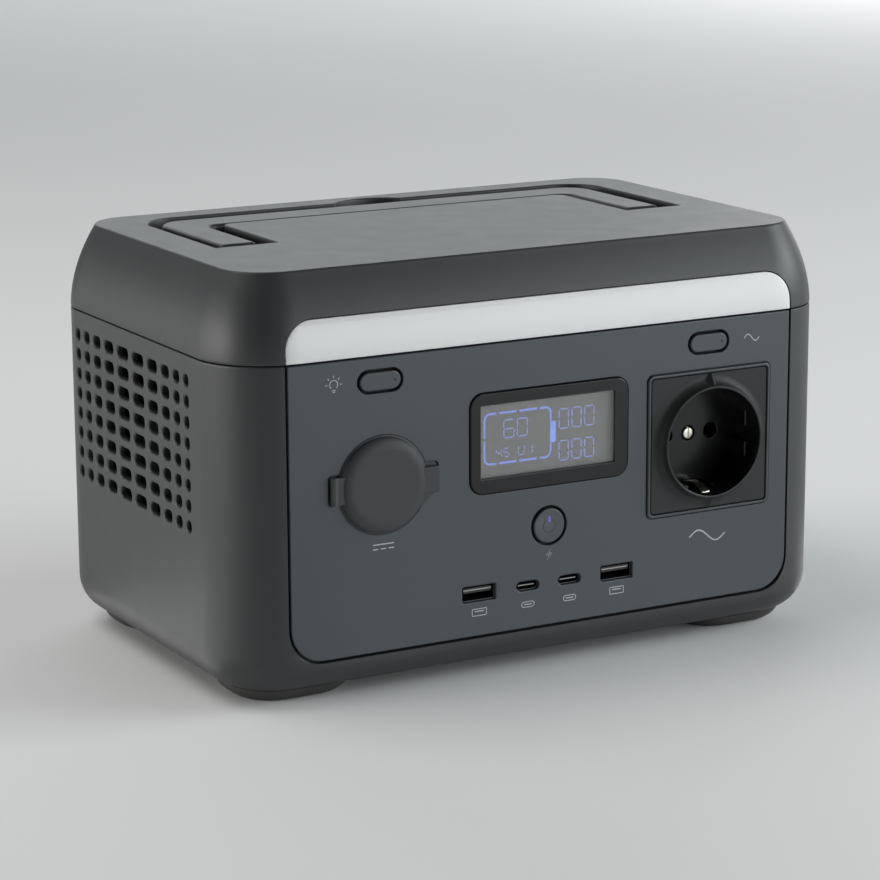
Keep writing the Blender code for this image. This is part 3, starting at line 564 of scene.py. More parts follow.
def slot_outline(grow):
    """The U of the handle's slot, with square arm ends."""
    x_out, y1, r_out, x_in, y0, y_in, r_in = grown(SLOT, grow)
    r_in = max(0.8, r_in)
    return [
        (x_out, y0),
        (x_out, y0 + 2.0),
        *arc(x_out - r_out, y1 - r_out, r_out, 0, 90, 14),
        *arc(r_out - x_out, y1 - r_out, r_out, 90, 180, 14),
        (-x_out, y0 + 2.0),
        (-x_out, y0),
        (-x_in, y0),
        (-x_in, y0 + 2.0),
        *arc(r_in - x_in, y_in - r_in, r_in, 180, 90, 8),
        *arc(x_in - r_in, y_in - r_in, r_in, 90, 0, 8),
        (x_in, y0 + 2.0),
        (x_in, y0),
    ]


def handle_outline(grow):
    """The handle's U with its two arm ends rounded in plan."""
    x_out, y1, r_out, x_in, y0, y_in, r_in = grown(HANDLE, grow)
    r = max(0.2, 1.8 + grow)
    right = arc(x_in + r, y0 + r, r, 180, 270, 5) + arc(x_out - r, y0 + r, r, 270, 360, 5)
    left = [(-x, y) for x, y in reversed(right)]
    return [
        *right,
        *arc(x_out - r_out, y1 - r_out, r_out, 0, 90, 14),
        *arc(r_out - x_out, y1 - r_out, r_out, 90, 180, 14),
        *left,
        *arc(r_in - x_in, y_in - r_in, r_in, 180, 90, 8),
        *arc(x_in - r_in, y_in - r_in, r_in, 90, 0, 8),
    ]


def scoop_outline(grow=0.0):
    chord = SLOT["y1"] - 1.0
    sag = SCOOP_Y - chord
    r = (SCOOP_X**2 + sag**2) / (2 * sag)
    half = math.degrees(math.asin(SCOOP_X / r))
    return [
        (-SCOOP_X - grow, SLOT["y1"] - 3.0),
        (SCOOP_X + grow, SLOT["y1"] - 3.0),
        *arc(0, SCOOP_Y - r, r + grow, 90 - half, 90 + half, 24),
    ]


def opening_outline(top, low, r_top, r_low):
    """Outline across X and Z of the panel's and light bar's opening, grown by grow."""
    def outline(grow):
        x = PANEL_X + PANEL_GAP + grow
        return [
            *arc(x - r_top - grow, top + grow - r_top - grow, r_top + grow, 0, 90, 10),
            *arc(r_top + grow - x, top + grow - r_top - grow, r_top + grow, 90, 180, 10),
            *arc(r_low + grow - x, low - grow + r_low + grow, r_low + grow, 180, 270, 10),
            *arc(x - r_low - grow, low - grow + r_low + grow, r_low + grow, 270, 360, 10),
        ]
    return outline


def make_lower_shell():
    shell = make_object("lower_shell_look", tub_solid(0.0, PART_Z - 0.2, edge=0.35))
    cut(shell, tub_solid(WALL, PART_Z + 5))
    add(shell, joined(*(lathe([(0, 5), (6, 5), (6, 9), (0, 9)], 24, "Z", at) for at in SCREWS)))
    opening = opening_outline(PART_Z + 30, PANEL_Z - PANEL_GAP, 2.0, PANEL_R + PANEL_GAP)
    cut(shell, recess(opening, FRONT, FRONT + 12, 0.5))
    vents = []
    y = VENT_Y - (sum(VENT_WIDTHS) + VENT_WEB * (len(VENT_WIDTHS) - 1)) / 2
    for width in VENT_WIDTHS:
        w, h = width - 0.2, VENT_H - 0.3
        for row in range(VENT_ROWS):
            hole = rect_outline(w, h, min(w, h) / 2 - 0.3, (y + width / 2, VENT_Z + row * VENT_PITCH), 5)
            for side in (-1, 1):
                levels = lip_levels(side * WIDTH / 2, side * (WIDTH / 2 - 6), 0.8)
                vents.append(stack(hole, levels, "X"))
        y += width + VENT_WEB
    cut(shell, joined(*vents))
    screw = [(0, 2), (3.6, 2), (3.6, 6.6), (1.9, 6.6), (1.9, 10), (0, 10)]
    inlet = recess(round_outline(6.3, INLET, 40), BACK, BACK - 8, 0.4)
    cut(shell, joined(*(lathe(screw, 24, "Z", at) for at in SCREWS)), inlet)
    dress(shell, MAT["shell"], stands_for=["lower_shell"])


def make_lid():
    skirt = [body_ring(2.95, PART_Z - 2.9), body_ring(2.95, PART_Z + 0.2)]
    ledge = [body_ring(4.6, PART_Z - 6.0), body_ring(4.6, PART_Z + 3.0)]
    lid = make_object("upper_lid_look", lid_solid(PART_Z + 0.2, TOP_Z, edge=1.0, foot=0.35, before=skirt))
    cut(lid, lid_solid(PART_Z + 3.0, TOP_Z - WALL, WALL, before=ledge))
    add(
        lid,
        prism(slot_outline(POCKET_WALL), SLOT_FLOOR - POCKET_WALL, TOP_Z - 1.3, "Z"),
        prism(scoop_outline(POCKET_WALL), SLOT_FLOOR - POCKET_WALL - 0.1, TOP_Z - 1.4, "Z"),
    )
    window = opening_outline(LENS_TOP + PANEL_GAP, PART_Z - 30, LENS_R + PANEL_GAP, 2.0)
    cut(lid, stack(window, [(FRONT - 3, 0.0), (FRONT + 12, 0.0)], "Y"))
    cut(lid, box((-103.5, 103.5), (FRONT + 2.75, FRONT + 9), (PART_Z - 6, PART_Z + 3.5)))
    cut(
        lid,
        stack(slot_outline, lip_levels(TOP_Z, SLOT_FLOOR, 0.7, 5), "Z"),
        stack(scoop_outline, lip_levels(TOP_Z, SLOT_FLOOR + 0.02, 0.7, 5), "Z"),
    )
    bores = [prism(circle(PIN_R + 0.12, 24, (PIVOT_Y, PIVOT_Z)), s * 66.0, s * 98.5, "X") for s in (-1, 1)]
    cut(lid, joined(*bores))
    dress(lid, MAT["shell"], stands_for=["upper_lid"])


def make_handle():
    form = stack(handle_outline, edge_levels(*HANDLE_Z, 1.6, 1.7, 6), "Z")
    handle = make_object("carry_handle_look", form)
    bore = circle(PIN_R + 0.3, 32, (PIVOT_Y, PIVOT_Z))
    cut(handle, joined(*(prism(bore, s * 74, s * 91, "X") for s in (-1, 1))))
    ribs = [rounded(3.0, 10.0, 1.4, 5, (x, 44.4)) for x in range(-60, 61, 6)]
    cut(handle, joined(*(prism(rib, HANDLE_Z[0] - 2, HANDLE_Z[0] + 0.7, "Z") for rib in ribs)))
    dress(handle, MAT["shell"], "handle", ["carry_handle"])


def make_feet():
    levels = [
        (0.0, -0.5), (0.12, -0.1), (0.5, 0.7), (1.2, 1.9), (2.2, 3.0), (3.3, 3.8), (4.6, 4.3), (7.0, 4.6)
    ]
    w, d = FOOT["w"], FOOT["d"]
    corners = {"front_left": (-1, -1), "front_right": (1, -1), "rear_left": (-1, 1), "rear_right": (1, 1)}
    for name, (sx, sy) in corners.items():
        at = (sx * FOOT["x"], sy * FOOT["y"])
        foot = make_object(f"foot_{name}_look", stack(rect_outline(w, d, FOOT["r"], at, 12), levels, "Z"))
        cut(foot, tub_solid(-0.12, 60.0))
        for less in (0, 8):
            outer = rounded(w - 6 - less, d - 6 - less, 9 - less / 2, 8, at)
            inner = rounded(w - 8.4 - less, d - 8.4 - less, 7.8 - less / 2, 8, at)
            ring = make_object("ring", prism(outer, -1, 0.5, "Z"))
            cut(ring, prism(inner, -1.2, 0.7, "Z"))
            cut(foot, solid_of(ring))
            bpy.data.objects.remove(ring)
        dress(foot, MAT["foot"], stands_for=[f"foot_{name}"])


# ---------------------------------------------------------------- front panel
def panel_outline(grow, top=PART_Z - 0.4):
    x, z, r = PANEL_X + grow, PANEL_Z - grow, PANEL_R + grow
    return [(x, top), (-x, top), *arc(r - x, z + r, r, 180, 270, 14), *arc(x - r, z + r, r, 270, 360, 14)]


def pill_outline(w, h, at):
    return lambda grow: rounded(w + 2 * grow, h + 2 * grow, h / 2 + grow - 0.01, 12, at)


def round_outline(r, at, seg=64):
    return lambda grow: circle(r + grow, seg, at)


def rect_outline(w, h, r, at, seg=8):
    return lambda grow: rounded(w + 2 * grow, h + 2 * grow, max(0.1, r + grow), seg, at)


def make_front_panel():
    y0, y1 = PANEL_Y, PANEL_Y + PANEL_T
    through = y1 + 4

    def face(grow):
        return panel_outline(grow, PART_Z - 0.4 + grow)

    def back_frame(grow, start, end):
        """A frame behind the panel, from 5 mm inside its outline out to grow outside it."""
        piece = make_object("back_frame", prism(panel_outline(grow), start, end, "Y"))
        cut(piece, prism(panel_outline(-5.0, PART_Z - 3.4), y1 - 3, y1 + 6, "Y"))
        return piece

    panel = make_object("front_panel_look", raised(face, y0, y1, 0.35))
    w, h = DISPLAY_SIZE
    holes = [recess(pill_outline(*PILL_HOLE, at), y0, through, 0.3) for at in PILLS.values()]
    holes.append(recess(round_outline(POWER_HOLE_R, POWER), y0, through, 0.3))
    holes.append(recess(rect_outline(w + 0.5, h + 0.5, DISPLAY_R + 0.2, DISPLAY), y0, through, 0.25))
    holes.append(recess(rect_outline(51.9, 51.9, 2.6, SOCKET), y0, y0 + 1.0, 0.2))
    holes += [recess(rect_outline(*USB_A_SIZE, 0.5, (x, USB_Z)), y0, through, 0.55) for x in USB_A.values()]
    holes += [recess(pill_outline(*USB_C_SIZE, (x, USB_Z)), y0, through, 0.45) for x in USB_C.values()]
    cut(panel, joined(*holes))
    cut(panel, prism(rounded(45.0, 45.0, 4.0, 5, SOCKET), y0 - 3, y1 + 6, "Y"))
    x, z = DC
    cut(panel, recess(round_outline(DC_RING_R, DC, 96), y0, y0 + 1.2, 0.15))
    cut(panel, recess(rect_outline(8.5, 10.2, 1.2, (x - 16.0, z)), y0, y0 + 1.2, 0.3))
    cut(panel, recess(rect_outline(8.2, 10.6, 1.4, (x + 17.0, z + 0.5)), y0, y0 + 0.8, 0.3))
    cut(panel, prism(circle(12.5, 48, DC), y0 - 3, y1 + 6, "Y"))
    flange = back_frame(2.4, y1 + 1.2, y1 + 2.8)
    rim = back_frame(-2.0, y1 - 0.5, y1 + 2.8)
    for piece in (rim, flange):
        modifier = panel.modifiers.new("back", "BOOLEAN")
        modifier.operation, modifier.object, modifier.solver = "UNION", piece, "EXACT"
    bake(panel)
    for piece in (rim, flange):
        bpy.data.objects.remove(piece)
    dress(panel, MAT["panel"], stands_for=["front_panel"])


def make_light_bar():
    x, top = PANEL_X + 0.35, LENS_TOP + 0.35
    outline = [(x, PART_Z + 0.35), *arc(x - LENS_R, top - LENS_R, LENS_R, 0, 90, 16)]
    outline += [(-x, z) for x, z in reversed(outline)]
    lens = make_object("light_bar_lens_look", prism(outline, FRONT - 3, FRONT + 12, "Y"))
    boolean(lens, "INTERSECT", lid_solid(PART_Z - 3, TOP_Z, 0.2))
    cut(lens, lid_solid(PART_Z - 4, TOP_Z + 3, 2.6))
    bevel(lens, 0.25, 50)
    dress(lens, MAT["lens"], stands_for=["light_bar_lens"])


def make_buttons():
    y = PANEL_Y
    front = y - 0.3
    for name, at in (*PILLS.items(), ("power", POWER)):
        x, z = at
        if name == "power":
            cap = round_outline(POWER_HOLE_R - BUTTON_GAP, at)
            flange = circle(POWER_HOLE_R + 1.3, 48, at)
        else:
            w, h = PILL_HOLE[0] - 2 * BUTTON_GAP, PILL_HOLE[1] - 2 * BUTTON_GAP
            cap = pill_outline(w, h, at)
            flange = rounded(w + 4.6, h + 2.6, 2.0, 6, at)
        button = make_object(f"{name}_button_look", raised(cap, front, y + PANEL_T + 0.4, 0.45))
        button.data.materials.append(MAT["button"])
        add(button, prism(flange, y + PANEL_T + 0.3, y + PANEL_T + 1.5, "Y"), paint=MAT["gasket"])
        body = f"{name}_key"
        dress(button, MAT["button"], body, [f"{name}_button"])
        if name == "power":
            stroke("power_icon_ring", arc(x, z, 2.35, 125, 415, 40), 0.42, front, MAT["ink_dark"], body)
            stroke("power_icon_bar", [(x, z + 1.2), (x, z + 3.3)], 0.62, front, MAT["blue_lamp"], body)
        else:
            dot = [(0, y - 0.34), (0.42, y - 0.34), (0.5, y - 0.2), (0, y - 0.2)]
            lamp = make_object(f"{name}_lamp", lathe(dot, 24, "Y", (x + 5.4, z)))
            dress(lamp, MAT["gasket"], body)


def stroke(name, points, width, y, material, body="case", closed=False, proud=0.04):
    """Printed lines on a face across Y: flat, with round joints and ends, proud by a hair."""
    curve = bpy.data.curves.new(name, "CURVE")
    curve.dimensions, curve.use_fill_caps = "3D", True
    curve.bevel_depth, curve.bevel_resolution = width / 2000, 2
    lines = points if isinstance(points[0][0], (tuple, list)) else [points]
    for line in lines:
        spline = curve.splines.new("POLY")
        spline.points.add(len(line) - 1)
        for point, (u, v) in zip(spline.points, line):
            point.co = (u / 1000, 0.0, v / 1000, 1.0)
        spline.use_cyclic_u = closed
    source = link(bpy.data.objects.new(name + "_line", curve))
    mesh = evaluated_mesh(source)
    bpy.data.objects.remove(source)
    flat = 2 * proud / width
    mesh.transform(Matrix.Translation((0, (y + SHIFT_Y) / 1000, 0)) @ Matrix.Diagonal((1, flat, 1, 1)))
    work = bmesh.new()
    work.from_mesh(mesh)
    bmesh.ops.remove_doubles(work, verts=work.verts, dist=1e-8)
    work.to_mesh(mesh)
    work.free()
    obj = link(bpy.data.objects.new(name, mesh))
    return dress(obj, material, body, weighted=False, smooth=60)


SEVEN = {"0": "abcdef", "6": "acdefg", "1": "bc", "4": "bcfg", "5": "acdfg", "U": "bcdef"}


def seven_segment(text, x, z, w, h, gap, pitch):
    """Lines of a row of seven-segment characters whose lower left corner is (x, z)."""
    lines = []
    for k, character in enumerate(text):
        x0, x1, m = x + k * pitch, x + k * pitch + w, z + h / 2
        ends = {
            "a": ((x0 + gap, z + h), (x1 - gap, z + h)),
            "g": ((x0 + gap, m), (x1 - gap, m)),
            "d": ((x0 + gap, z), (x1 - gap, z)),
            "f": ((x0, m + gap), (x0, z + h - gap)),
            "b": ((x1, m + gap), (x1, z + h - gap)),
            "e": ((x0, z + gap), (x0, m - gap)),
            "c": ((x1, z + gap), (x1, m - gap)),
        }
        lines += [ends[name] for name in SEVEN[character]]
    return lines


def make_display():
    y = PANEL_Y
    form = raised(rect_outline(*DISPLAY_SIZE, DISPLAY_R, DISPLAY, 12), y - 0.5, y + 3.0, 0.5)
    bezel = make_object("display_bezel_look", form)
    bezel.data.materials.append(MAT["bezel"])
    # Painted reflection: the window's inner walls of the black bezel take the LCD ground's grey, for the
    # light they reflect.
    cut(bezel, recess(rect_outline(*WINDOW_SIZE, 0.4, WINDOW, 3), y - 0.5, y + 6, 0.15), paint=MAT["lcd"])
    dress(bezel, MAT["bezel"], stands_for=["display_bezel"])
    w, h = WINDOW_SIZE
    pane = raised(rect_outline(w - 0.5, h - 0.5, 0.3, WINDOW, 2), y + 0.3, y + 1.2, 0.1, 0.1, 2)
    window = make_object("display_window_look", pane)
    dress(window, MAT["glass"], stands_for=["display_window"])
    face = y + LCD_DEEP
    back = prism(rounded(w + 4, h + 4, 1.0, 2, WINDOW), y + 3.4, y + 8.4, "Y")
    module = make_object("lcd_module_look", back)
    module.data.materials.append(MAT["black"])
    ground = raised(rect_outline(w - 0.1, h - 0.1, 0.3, WINDOW, 2), face, y + 4.0, 0.03, 0.0, 2)
    add(module, ground, paint=MAT["lcd"])
    dress(module, MAT["black"], stands_for=["lcd_module"])

    def segments(name, lines, width, material=MAT["segment_dim"]):
        stroke(f"lcd_{name}", lines, width, face, material, proud=0.05)

    left, right, low, high = BATTERY_BOX
    middle, r = (low + high) / 2, 2.2
    gap1, gap2, gap3 = (left + 4.6, left + 5.8), (left + 12.6, left + 13.8), (left + 20.6, left + 21.8)
    outline = [
        [(left, middle + 0.5), (left, high - r), *arc(left + r, high - r, r, 180, 90, 6), (gap1[0], high)],
        [(gap1[1], high), (gap2[0], high)],
        [(gap2[1], high), (gap3[0], high)],
        [(gap3[1], high), *arc(right - r, high - r, r, 90, 0, 6), (right, 87.6)],
        [(right, 79.8), *arc(right - r, low + r, r, 0, -90, 6), (gap3[1], low)],
        [(gap2[1], low), (gap3[0], low)],
        [(gap1[1], low), (gap2[0], low)],
        [(gap1[0], low), *arc(left + r, low + r, r, 270, 180, 6), (left, middle - 0.5)],
    ]
    segments("battery_outline", outline, 0.75, MAT["segment"])
    nub = prism(rounded(2.2, 7.4, 0.3, 2, (right + 0.9, 83.7)), face - 0.05, face + 0.02, "Y")
    dress(make_object("lcd_battery_terminal", nub), MAT["segment_bright"], weighted=False)
    segments("charge_digits", seven_segment("60", -16.4, 83.6, 4.0, 6.2, 0.35, 5.3), 0.42)
    state = seven_segment("45", -19.2, 77.0, 1.9, 3.0, 0.25, 2.9)
    state += seven_segment("U1", -10.6, 77.0, 2.2, 3.4, 0.25, 3.2)
    segments("state_digits", state, 0.34)
    for row, z in (("upper", 84.4), ("lower", 73.2)):
        segments(f"digits_{row}", seven_segment("000", 5.6, z, 3.7, 6.8, 0.4, 5.15), 0.45)


def make_icons():
    """Plain printed symbols beside the controls, in place of lettering."""
    def icon(name, lines, width, closed=False):
        stroke(f"icon_{name}", lines, width, PANEL_Y, MAT["ink"], closed=closed)

    def sine(x, z, length, height, steps):
        turns = [(k, math.sin(2 * math.pi * k / steps)) for k in range(steps + 1)]
        return [(x + length * k / steps, z + height * swing) for k, swing in turns]

    x, z = -82.5, 109.2
    lamp = [arc(x, z + 0.5, 1.5, -50, 230, 18), [(x - 0.7, z - 1.4), (x + 0.7, z - 1.4)]]
    lamp.append([(x - 0.5, z - 2.0), (x + 0.5, z - 2.0)])
    for degrees in (0, 45, 90, 135, 180):
        u, v = math.cos(math.radians(degrees)), math.sin(math.radians(degrees))
        lamp.append([(x + r * u, z + 0.5 + r * v) for r in (2.3, 3.1)])
    icon("lamp", lamp, 0.34)
    icon("alternating", sine(80.0, 109.2, 6.4, 1.25, 32), 0.4)
    dashes = [(-68.6, -60.6, 53.4), (-68.6, -66.6, 51.8), (-65.6, -63.6, 51.8), (-62.6, -60.6, 51.8)]
    icon("direct", [[(start, z), (end, z)] for start, end, z in dashes], 0.4)
    icon("wave", sine(58.0, 39.4, 15.0, 2.2, 40), 0.5)
    z = 24.4
    for name, x in (*USB_A.items(), *USB_C.items()):
        w, h, r, rise = (5.6, 2.4, 0.25, 0.35) if name in USB_A else (5.0, 1.9, 0.94, 0.0)
        icon(name, rounded(w, h, r, 4, (x, z)), 0.3, closed=True)
        icon(f"{name}_tongue", [(x - w / 2 + 1.0, z + rise), (x + w / 2 - 1.0, z + rise)], 0.4)
    bolt = [(0.9, 2.1), (-1.1, -0.2), (0.1, -0.2), (-0.8, -2.1), (1.2, 0.3), (-0.1, 0.3)]
    icon("bolt", [(u, 41.2 + v) for u, v in bolt], 0.3, closed=True)


# ---------------------------------------------------------------- outlets
def make_ac_socket():
    y, (x, z) = PANEL_Y, SOCKET
    rim, floor = y - COLLAR_OUT, y - COLLAR_OUT + RECESS_DEPTH
    back = floor + 3.0
    form = raised(rect_outline(51.2, 51.2, 2.2, SOCKET), y - 0.7, y + 0.6, 0.5)
    bezel = make_object("ac_socket_bezel_look", form)
    cut(bezel, recess(rect_outline(PLATE + 0.7, PLATE + 0.7, 1.4, SOCKET), y - 0.7, y + 3, 0.3))
    dress(bezel, MAT["frame"], stands_for=["ac_socket_bezel"])

    form = raised(rect_outline(PLATE, PLATE, 1.2, SOCKET), y - 0.4, y + 0.6, 0.25)
    body = make_object("ac_socket_body_look", form)
    body.data.materials.append(MAT["plate"])
    fillet = [(23.7 - 3.4 * math.sin(t), y - 0.4 - 3.0 * (1 - math.cos(t))) for t in quarter(8)]
    lip_r = 0.35
    lip = [
        (COLLAR_R + 0.15 - lip_r * (1 - math.cos(t)), rim + lip_r * (1 - math.sin(t))) for t in quarter(4)
    ]
    outside = [(0, back), (21.6, back), (21.6, y + 0.4), (23.7, y + 0.2), *fillet, *lip, (0, rim)]
    add(body, lathe(outside, 128, "Y", SOCKET))
    cut(body, recess(round_outline(RECESS_R, SOCKET, 128), rim, floor, 0.3), paint=MAT["socket"])

    def rib(x0, x1, z0, z1, start, mirrored):
        """A rib from start down into the floor. mirrored turns its outline the other way round."""
        corners = [(x0, z0), (x1, z0), (x1, z1), (x0, z1)]
        return prism(corners[:: -1 if mirrored else 1], start, floor + 1, "Y")

    ribs = []
    for s in (-1, 1):
        for low, high in ((3.0, 8.5), (-8.5, -3.0)):
            ribs.append(rib(x + s * 17.4, x + s * 20.2, z + low, z + high, rim + 6.5, s < 0))
    for s in (-1, 1):
        for u in (-5.4, 5.4):
            ribs.append(rib(x + u - 0.5, x + u + 0.5, z + s * 17.2, z + s * 20.0, rim + 9.0, s < 0))
    add(body, joined(*ribs), paint=MAT["socket"])
    # Painted highlight: thin pale strips at the front edges of the ribs on the recess's right wall stand
    # for the light those edges catch.
    for name, low, high in (("upper", 3.0, 8.2), ("lower", -8.2, -3.0)):
        strip = box((x + 17.22, x + 17.42), (rim + 6.35, rim + 6.8), (z + low, z + high))
        strip = make_object(f"ac_socket_rib_edge_{name}", strip)
        dress(strip, MAT["painted_rib_highlight"], weighted=False)
    pins = [recess(round_outline(2.75, (x + s * PIN_X, z), 40), floor, back + 3, 0.4) for s in (-1, 1)]
    middle = recess(round_outline(2.75, SOCKET, 40), floor, back + 3, 0.3)
    cut(body, joined(*pins, middle), paint=MAT["socket"])
    slots = [sorted((z + s * 17.2, z + s * 20.6)) for s in (-1, 1)]
    slots = [box((x - 2.4, x + 2.4), (rim + 4.5, floor + 4.5), ends) for ends in slots]
    cut(body, joined(*slots), paint=MAT["socket"])
    ridges = []
    for side in (-1, 1):
        ends = [(19.7, 4.8, y - 3.75), (24.1, 1.1, y - 1.3)]
        rings = [
            [(x - half, y + 0.1, z + side * r), (x, crest, z + side * r), (x + half, y + 0.1, z + side * r)]
            for r, half, crest in ends
        ]
        ridges.append(loft(rings))
    add(body, *ridges)
    dress(body, MAT["plate"], stands_for=["ac_socket_body"])

    form = raised(round_outline(2.25, SOCKET, 40), floor - 0.2, floor + 6.0, 0.7)
    screw = make_object("ac_socket_screw_look", form)
    cut(screw, box((x - 0.35, x + 0.35), (floor - 1, floor + 0.8), (z - 4, z + 4)))
    dress(screw, MAT["screw"], stands_for=["ac_socket_screw"])
    bends = [k / 16 for k in range(17)]
    path = [(rim + 5.2 + 15.0 * t, 19.7 - 2.4 * math.sin(math.pi * t) ** 0.8) for t in bends]
    for name, s in (("top", 1), ("bottom", -1)):
        strip = [(a, z + s * r) for a, r in path] + [(a, z + s * (r - 0.7)) for a, r in reversed(path)]
        clip = make_object(f"earth_clip_{name}_look", prism(strip, x - 1.8, x + 1.8, "X"))
        bevel(clip, 0.2)
        dress(clip, MAT["nickel"], stands_for=[f"earth_clip_{name}"])


def make_dc_cap():
    y, (x, z) = PANEL_Y, DC
    r, front = DC_CAP_R, y - 2.8
    dome = [(r - 3.8 + 4.3 * math.cos(t), front + 2.65 - 2.65 * math.sin(t)) for t in quarter(8)]
    flange = [(r + 0.9, y + 0.9), (r + 1.05, y + 0.75), (r + 1.05, y + 0.1), (r + 0.9, y - 0.05)]
    disc = [(0, y + 0.9), *flange, *dome, (11.6, front + 0.02), (0, front + 0.1)]
    cap = make_object("dc_socket_cap_look", lathe(disc, 96, "Y", DC))
    web = box((CAP_AXIS_X, x - r + 3), (CAP_AXIS_Y - 0.85, CAP_AXIS_Y + 0.65), (z - 4.6, z + 4.6))
    add(cap, web)
    add(cap, prism(circle(1.3, 24, (CAP_AXIS_X, CAP_AXIS_Y)), z - 4.75, z + 4.75, "Z"))
    tab = rect_outline(8.6, 9.2, 1.2, (x + r + 0.5, z))
    add(cap, raised(tab, y - 2.25, y - 0.45, 0.6, 0.3))
    flare = [(x + 13.2, z - 9.0), (x + 19.6, z - 4.1), (x + 19.6, z - 2.0), (x + 10.0, z - 2.0)]
    add(cap, prism(flare, y - 1.75, y - 0.6, "Y"))
    plug = [(0, 0.5), (9.9, 0.5), (9.9, 1.6), (9.5, 1.9), (9.9, 2.2), (9.9, 4.2), (9.3, 5.0), (0, 5.0)]
    add(cap, lathe([(radius, y + a) for radius, a in plug], 64, "Y", DC))
    dress(cap, MAT["cap"], "dc_cap", ["dc_socket_cap"])


def make_usb_ports():
    y = PANEL_Y
    for name, x in (*USB_A.items(), *USB_C.items()):
        at = (x, USB_Z)
        if name in USB_A:
            outer, inner = rect_outline(*USB_A_SIZE, 0.5, at, 4), rect_outline(12.3, 4.9, 0.3, at, 4)
            tongue = rect_outline(11.1, 1.8, 0.2, (x, USB_Z + 1.0), 3)
            half, low, high = 5.4, 0.95, 1.35
        else:
            outer, inner = rect_outline(8.9, 3.26, 1.6, at, 8), rect_outline(8.3, 2.66, 1.3, at, 8)
            tongue = rect_outline(6.7, 0.7, 0.15, at, 3)
            half, low, high = 3.1, -0.1, 0.2
        shell = make_object(f"{name}_shell_look", raised(outer, y + 1.2, y + 14.5, 0.12, 0.0, 2))
        cut(shell, recess(inner, y + 1.2, y + 17, 0.12, 2))
        dress(shell, MAT["zinc"], stands_for=[f"{name}_shell"])
        piece = make_object(f"{name}_tongue_look", raised(tongue, y + 1.5, y + 14.3, 0.15, 0.0, 2))
        dress(piece, MAT["tongue"], stands_for=[f"{name}_tongue"])
        # Painted highlight: a thin pale strip in front of the tongue's front edge stands for the light that
        # edge catches.
        edge = box((x - half, x + half), (y + 1.44, y + 1.7), (USB_Z + low, USB_Z + high))
        edge = make_object(f"{name}_tongue_edge", edge)
        dress(edge, MAT["painted_tongue_highlight"], weighted=False)
        if name in USB_A:
            heights = (USB_Z + 0.06, USB_Z + 0.12)
            middles = (x - 3.5, x - 1.0, x + 1.0, x + 3.5)
            pads = [box((u - 0.55, u + 0.55), (y + 2.2, y + 10.0), heights) for u in middles]
            contact = make_object(f"{name}_contacts", joined(*pads))
            dress(contact, MAT["brass"], weighted=False)


def dress_inside():
    """Carried CAD nodes keep their shapes and get procedural materials by their material slot, except the
    socket's contacts, which are painted black zinc as painted shade deep in the pin holes.
    """
    by_slot = {
        "steel": "steel", "dark_steel": "zinc", "brass": "brass", "spring_metal": "nickel",
        "black_plastic": "black", "board": "board", "led_board": "led_board", "battery": "sleeve",
        "heatsink": "alu", "copper_core": "copper", "shell_plastic": "shell", "panel_plastic": "panel",
        "socket_plastic": "socket", "bezel_plastic": "bezel", "button_plastic": "button",
        "lens_plastic": "lens", "window_glass": "glass", "lcd": "lcd", "cap_rubber": "cap",
        "foot_rubber": "foot",
    }
    for part in frame["record"]["subparts"]:
        node = frame["nodes"][part["node"]]
        node.data.materials.clear()
        # Painted shade: the socket's brass contacts take black zinc, for the shade deep in the pin holes.
        painted_shade_contact = part["node"].startswith("ac_contact")
        node.data.materials.append(MAT["zinc" if painted_shade_contact else by_slot[part["material_slot"]]])


# ---------------------------------------------------------------- stage
def area_light(name, location, turn, size, power, tint):
    light = bpy.data.lights.new(name, "AREA")
    light.shape, light.size, light.size_y = "RECTANGLE", size[0], size[1]
    light.energy, light.color = power, tint
    lamp = link(bpy.data.objects.new(name, light))
    lamp.location, lamp.rotation_euler = location, turn
    lamp.visible_camera = False


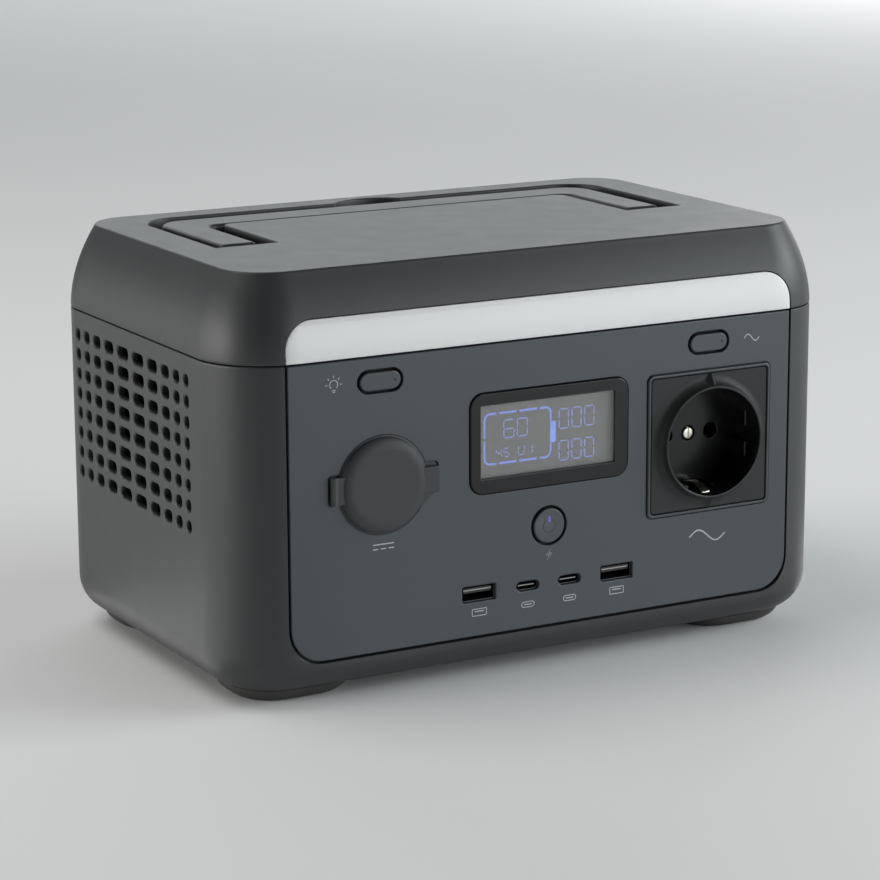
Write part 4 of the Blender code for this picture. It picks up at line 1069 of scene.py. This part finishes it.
def make_stage():
    material, nodes, links, shader, coords = tree_of("floor_paper")
    tone = mix(nodes, links, noise(nodes, links, coords, 3.0, 4.0), (0.84, 0.84, 0.84), (0.87, 0.87, 0.87))
    links.new(tone, shader.inputs["Base Color"])
    shader.inputs["Roughness"].default_value = 0.85
    mesh = bpy.data.meshes.new("floor")
    half = 6.0
    corners = [(-half, -half, 0), (half, -half, 0), (half, half, 0), (-half, half, 0)]
    mesh.from_pydata(corners, [], [(0, 1, 2, 3)])
    mesh.materials.append(material)
    link(bpy.data.objects.new("floor", mesh))

    world = bpy.data.worlds.new("studio")
    bpy.context.scene.world = world
    world.use_nodes = True
    background = world.node_tree.nodes["Background"]
    background.inputs["Color"].default_value = (0.93, 0.95, 1.0, 1.0)
    background.inputs["Strength"].default_value = 0.03

    cool, warm, plain = (0.94, 0.985, 1.0), (1.0, 0.99, 0.97), (1.0, 1.0, 1.0)
    # Name, azimuth and elevation in degrees, distance and size in metres, watts and tint.
    softboxes = (
        ("front", 30, 8, 1.8, (1.2, 0.5), 10.8, cool),
        ("right", 65, 20, 1.8, (1.2, 0.8), 21, cool),
        ("left", -95, 8, 1.8, (1.0, 0.5), 13.5, warm),
        ("rear_left", -125, 6, 1.8, (1.2, 0.4), 7, plain),
        ("back", 160, 22, 4.0, (4.0, 1.4), 44, cool),
        ("rear_right", 125, 9, 3.0, (2.0, 1.0), 13, plain),
        ("top_left", -120, 60, 1.6, (1.2, 1.0), 9, warm),
    )
    aim = Vector((0.0, 0.0, 0.07))
    for name, azimuth, elevation, distance, size, power, tint in softboxes:
        a, e = math.radians(azimuth), math.radians(elevation)
        way = Vector((math.sin(a) * math.cos(e), -math.cos(a) * math.cos(e), math.sin(e)))
        turn = way.to_track_quat("Z", "Y").to_euler()
        area_light(f"softbox_{name}", aim + way * distance, turn, size, power, tint)
    # Faint lights lying on the floor beside the body, which throw light up at its lower edges.
    upward, height = (math.pi, 0.0, 0.0), 0.003
    area_light("card_front", (0.02, -0.125, height), upward, (0.20, 0.09), 0.02, plain)
    area_light("card_left", (-0.168, 0.01, height), upward, (0.09, 0.12), 0.03, plain)
    area_light("card_right", (0.168, 0.0, height), upward, (0.09, 0.13), 0.035, plain)


def make_camera():
    """A camera in front of the body, to its left and above it. The place is in millimetres."""
    lens, sensor, far = 125.7, 36.0, 30.0
    yaw, pitch, roll = math.radians(28.94), math.radians(13.01), math.radians(-0.277)
    place_mm = Vector((-528.7, -955.4, 318.6)) + Vector((0.0, SHIFT_Y, 0.0))
    ahead = Vector((math.sin(yaw) * math.cos(pitch), math.cos(yaw) * math.cos(pitch), -math.sin(pitch)))
    right = Vector((math.cos(yaw), -math.sin(yaw), 0.0))
    up = right.cross(ahead)
    right, up = right * math.cos(roll) + up * math.sin(roll), up * math.cos(roll) - right * math.sin(roll)
    data = bpy.data.cameras.new("camera")
    data.lens, data.sensor_width, data.clip_end = lens, sensor, far
    camera = link(bpy.data.objects.new("camera", data))
    turn = Matrix((right, up, -ahead)).transposed().to_4x4()
    camera.matrix_world = Matrix.Translation(place_mm / 1000) @ turn
    bpy.context.scene.camera = camera
    bpy.context.scene.view_settings.view_transform = "Standard"


make_camera()
make_stage()
dress_inside()
make_lower_shell()
make_lid()
make_handle()
make_feet()
make_front_panel()
make_light_bar()
make_buttons()
make_display()
make_icons()
make_ac_socket()
make_dc_cap()
make_usb_ports()
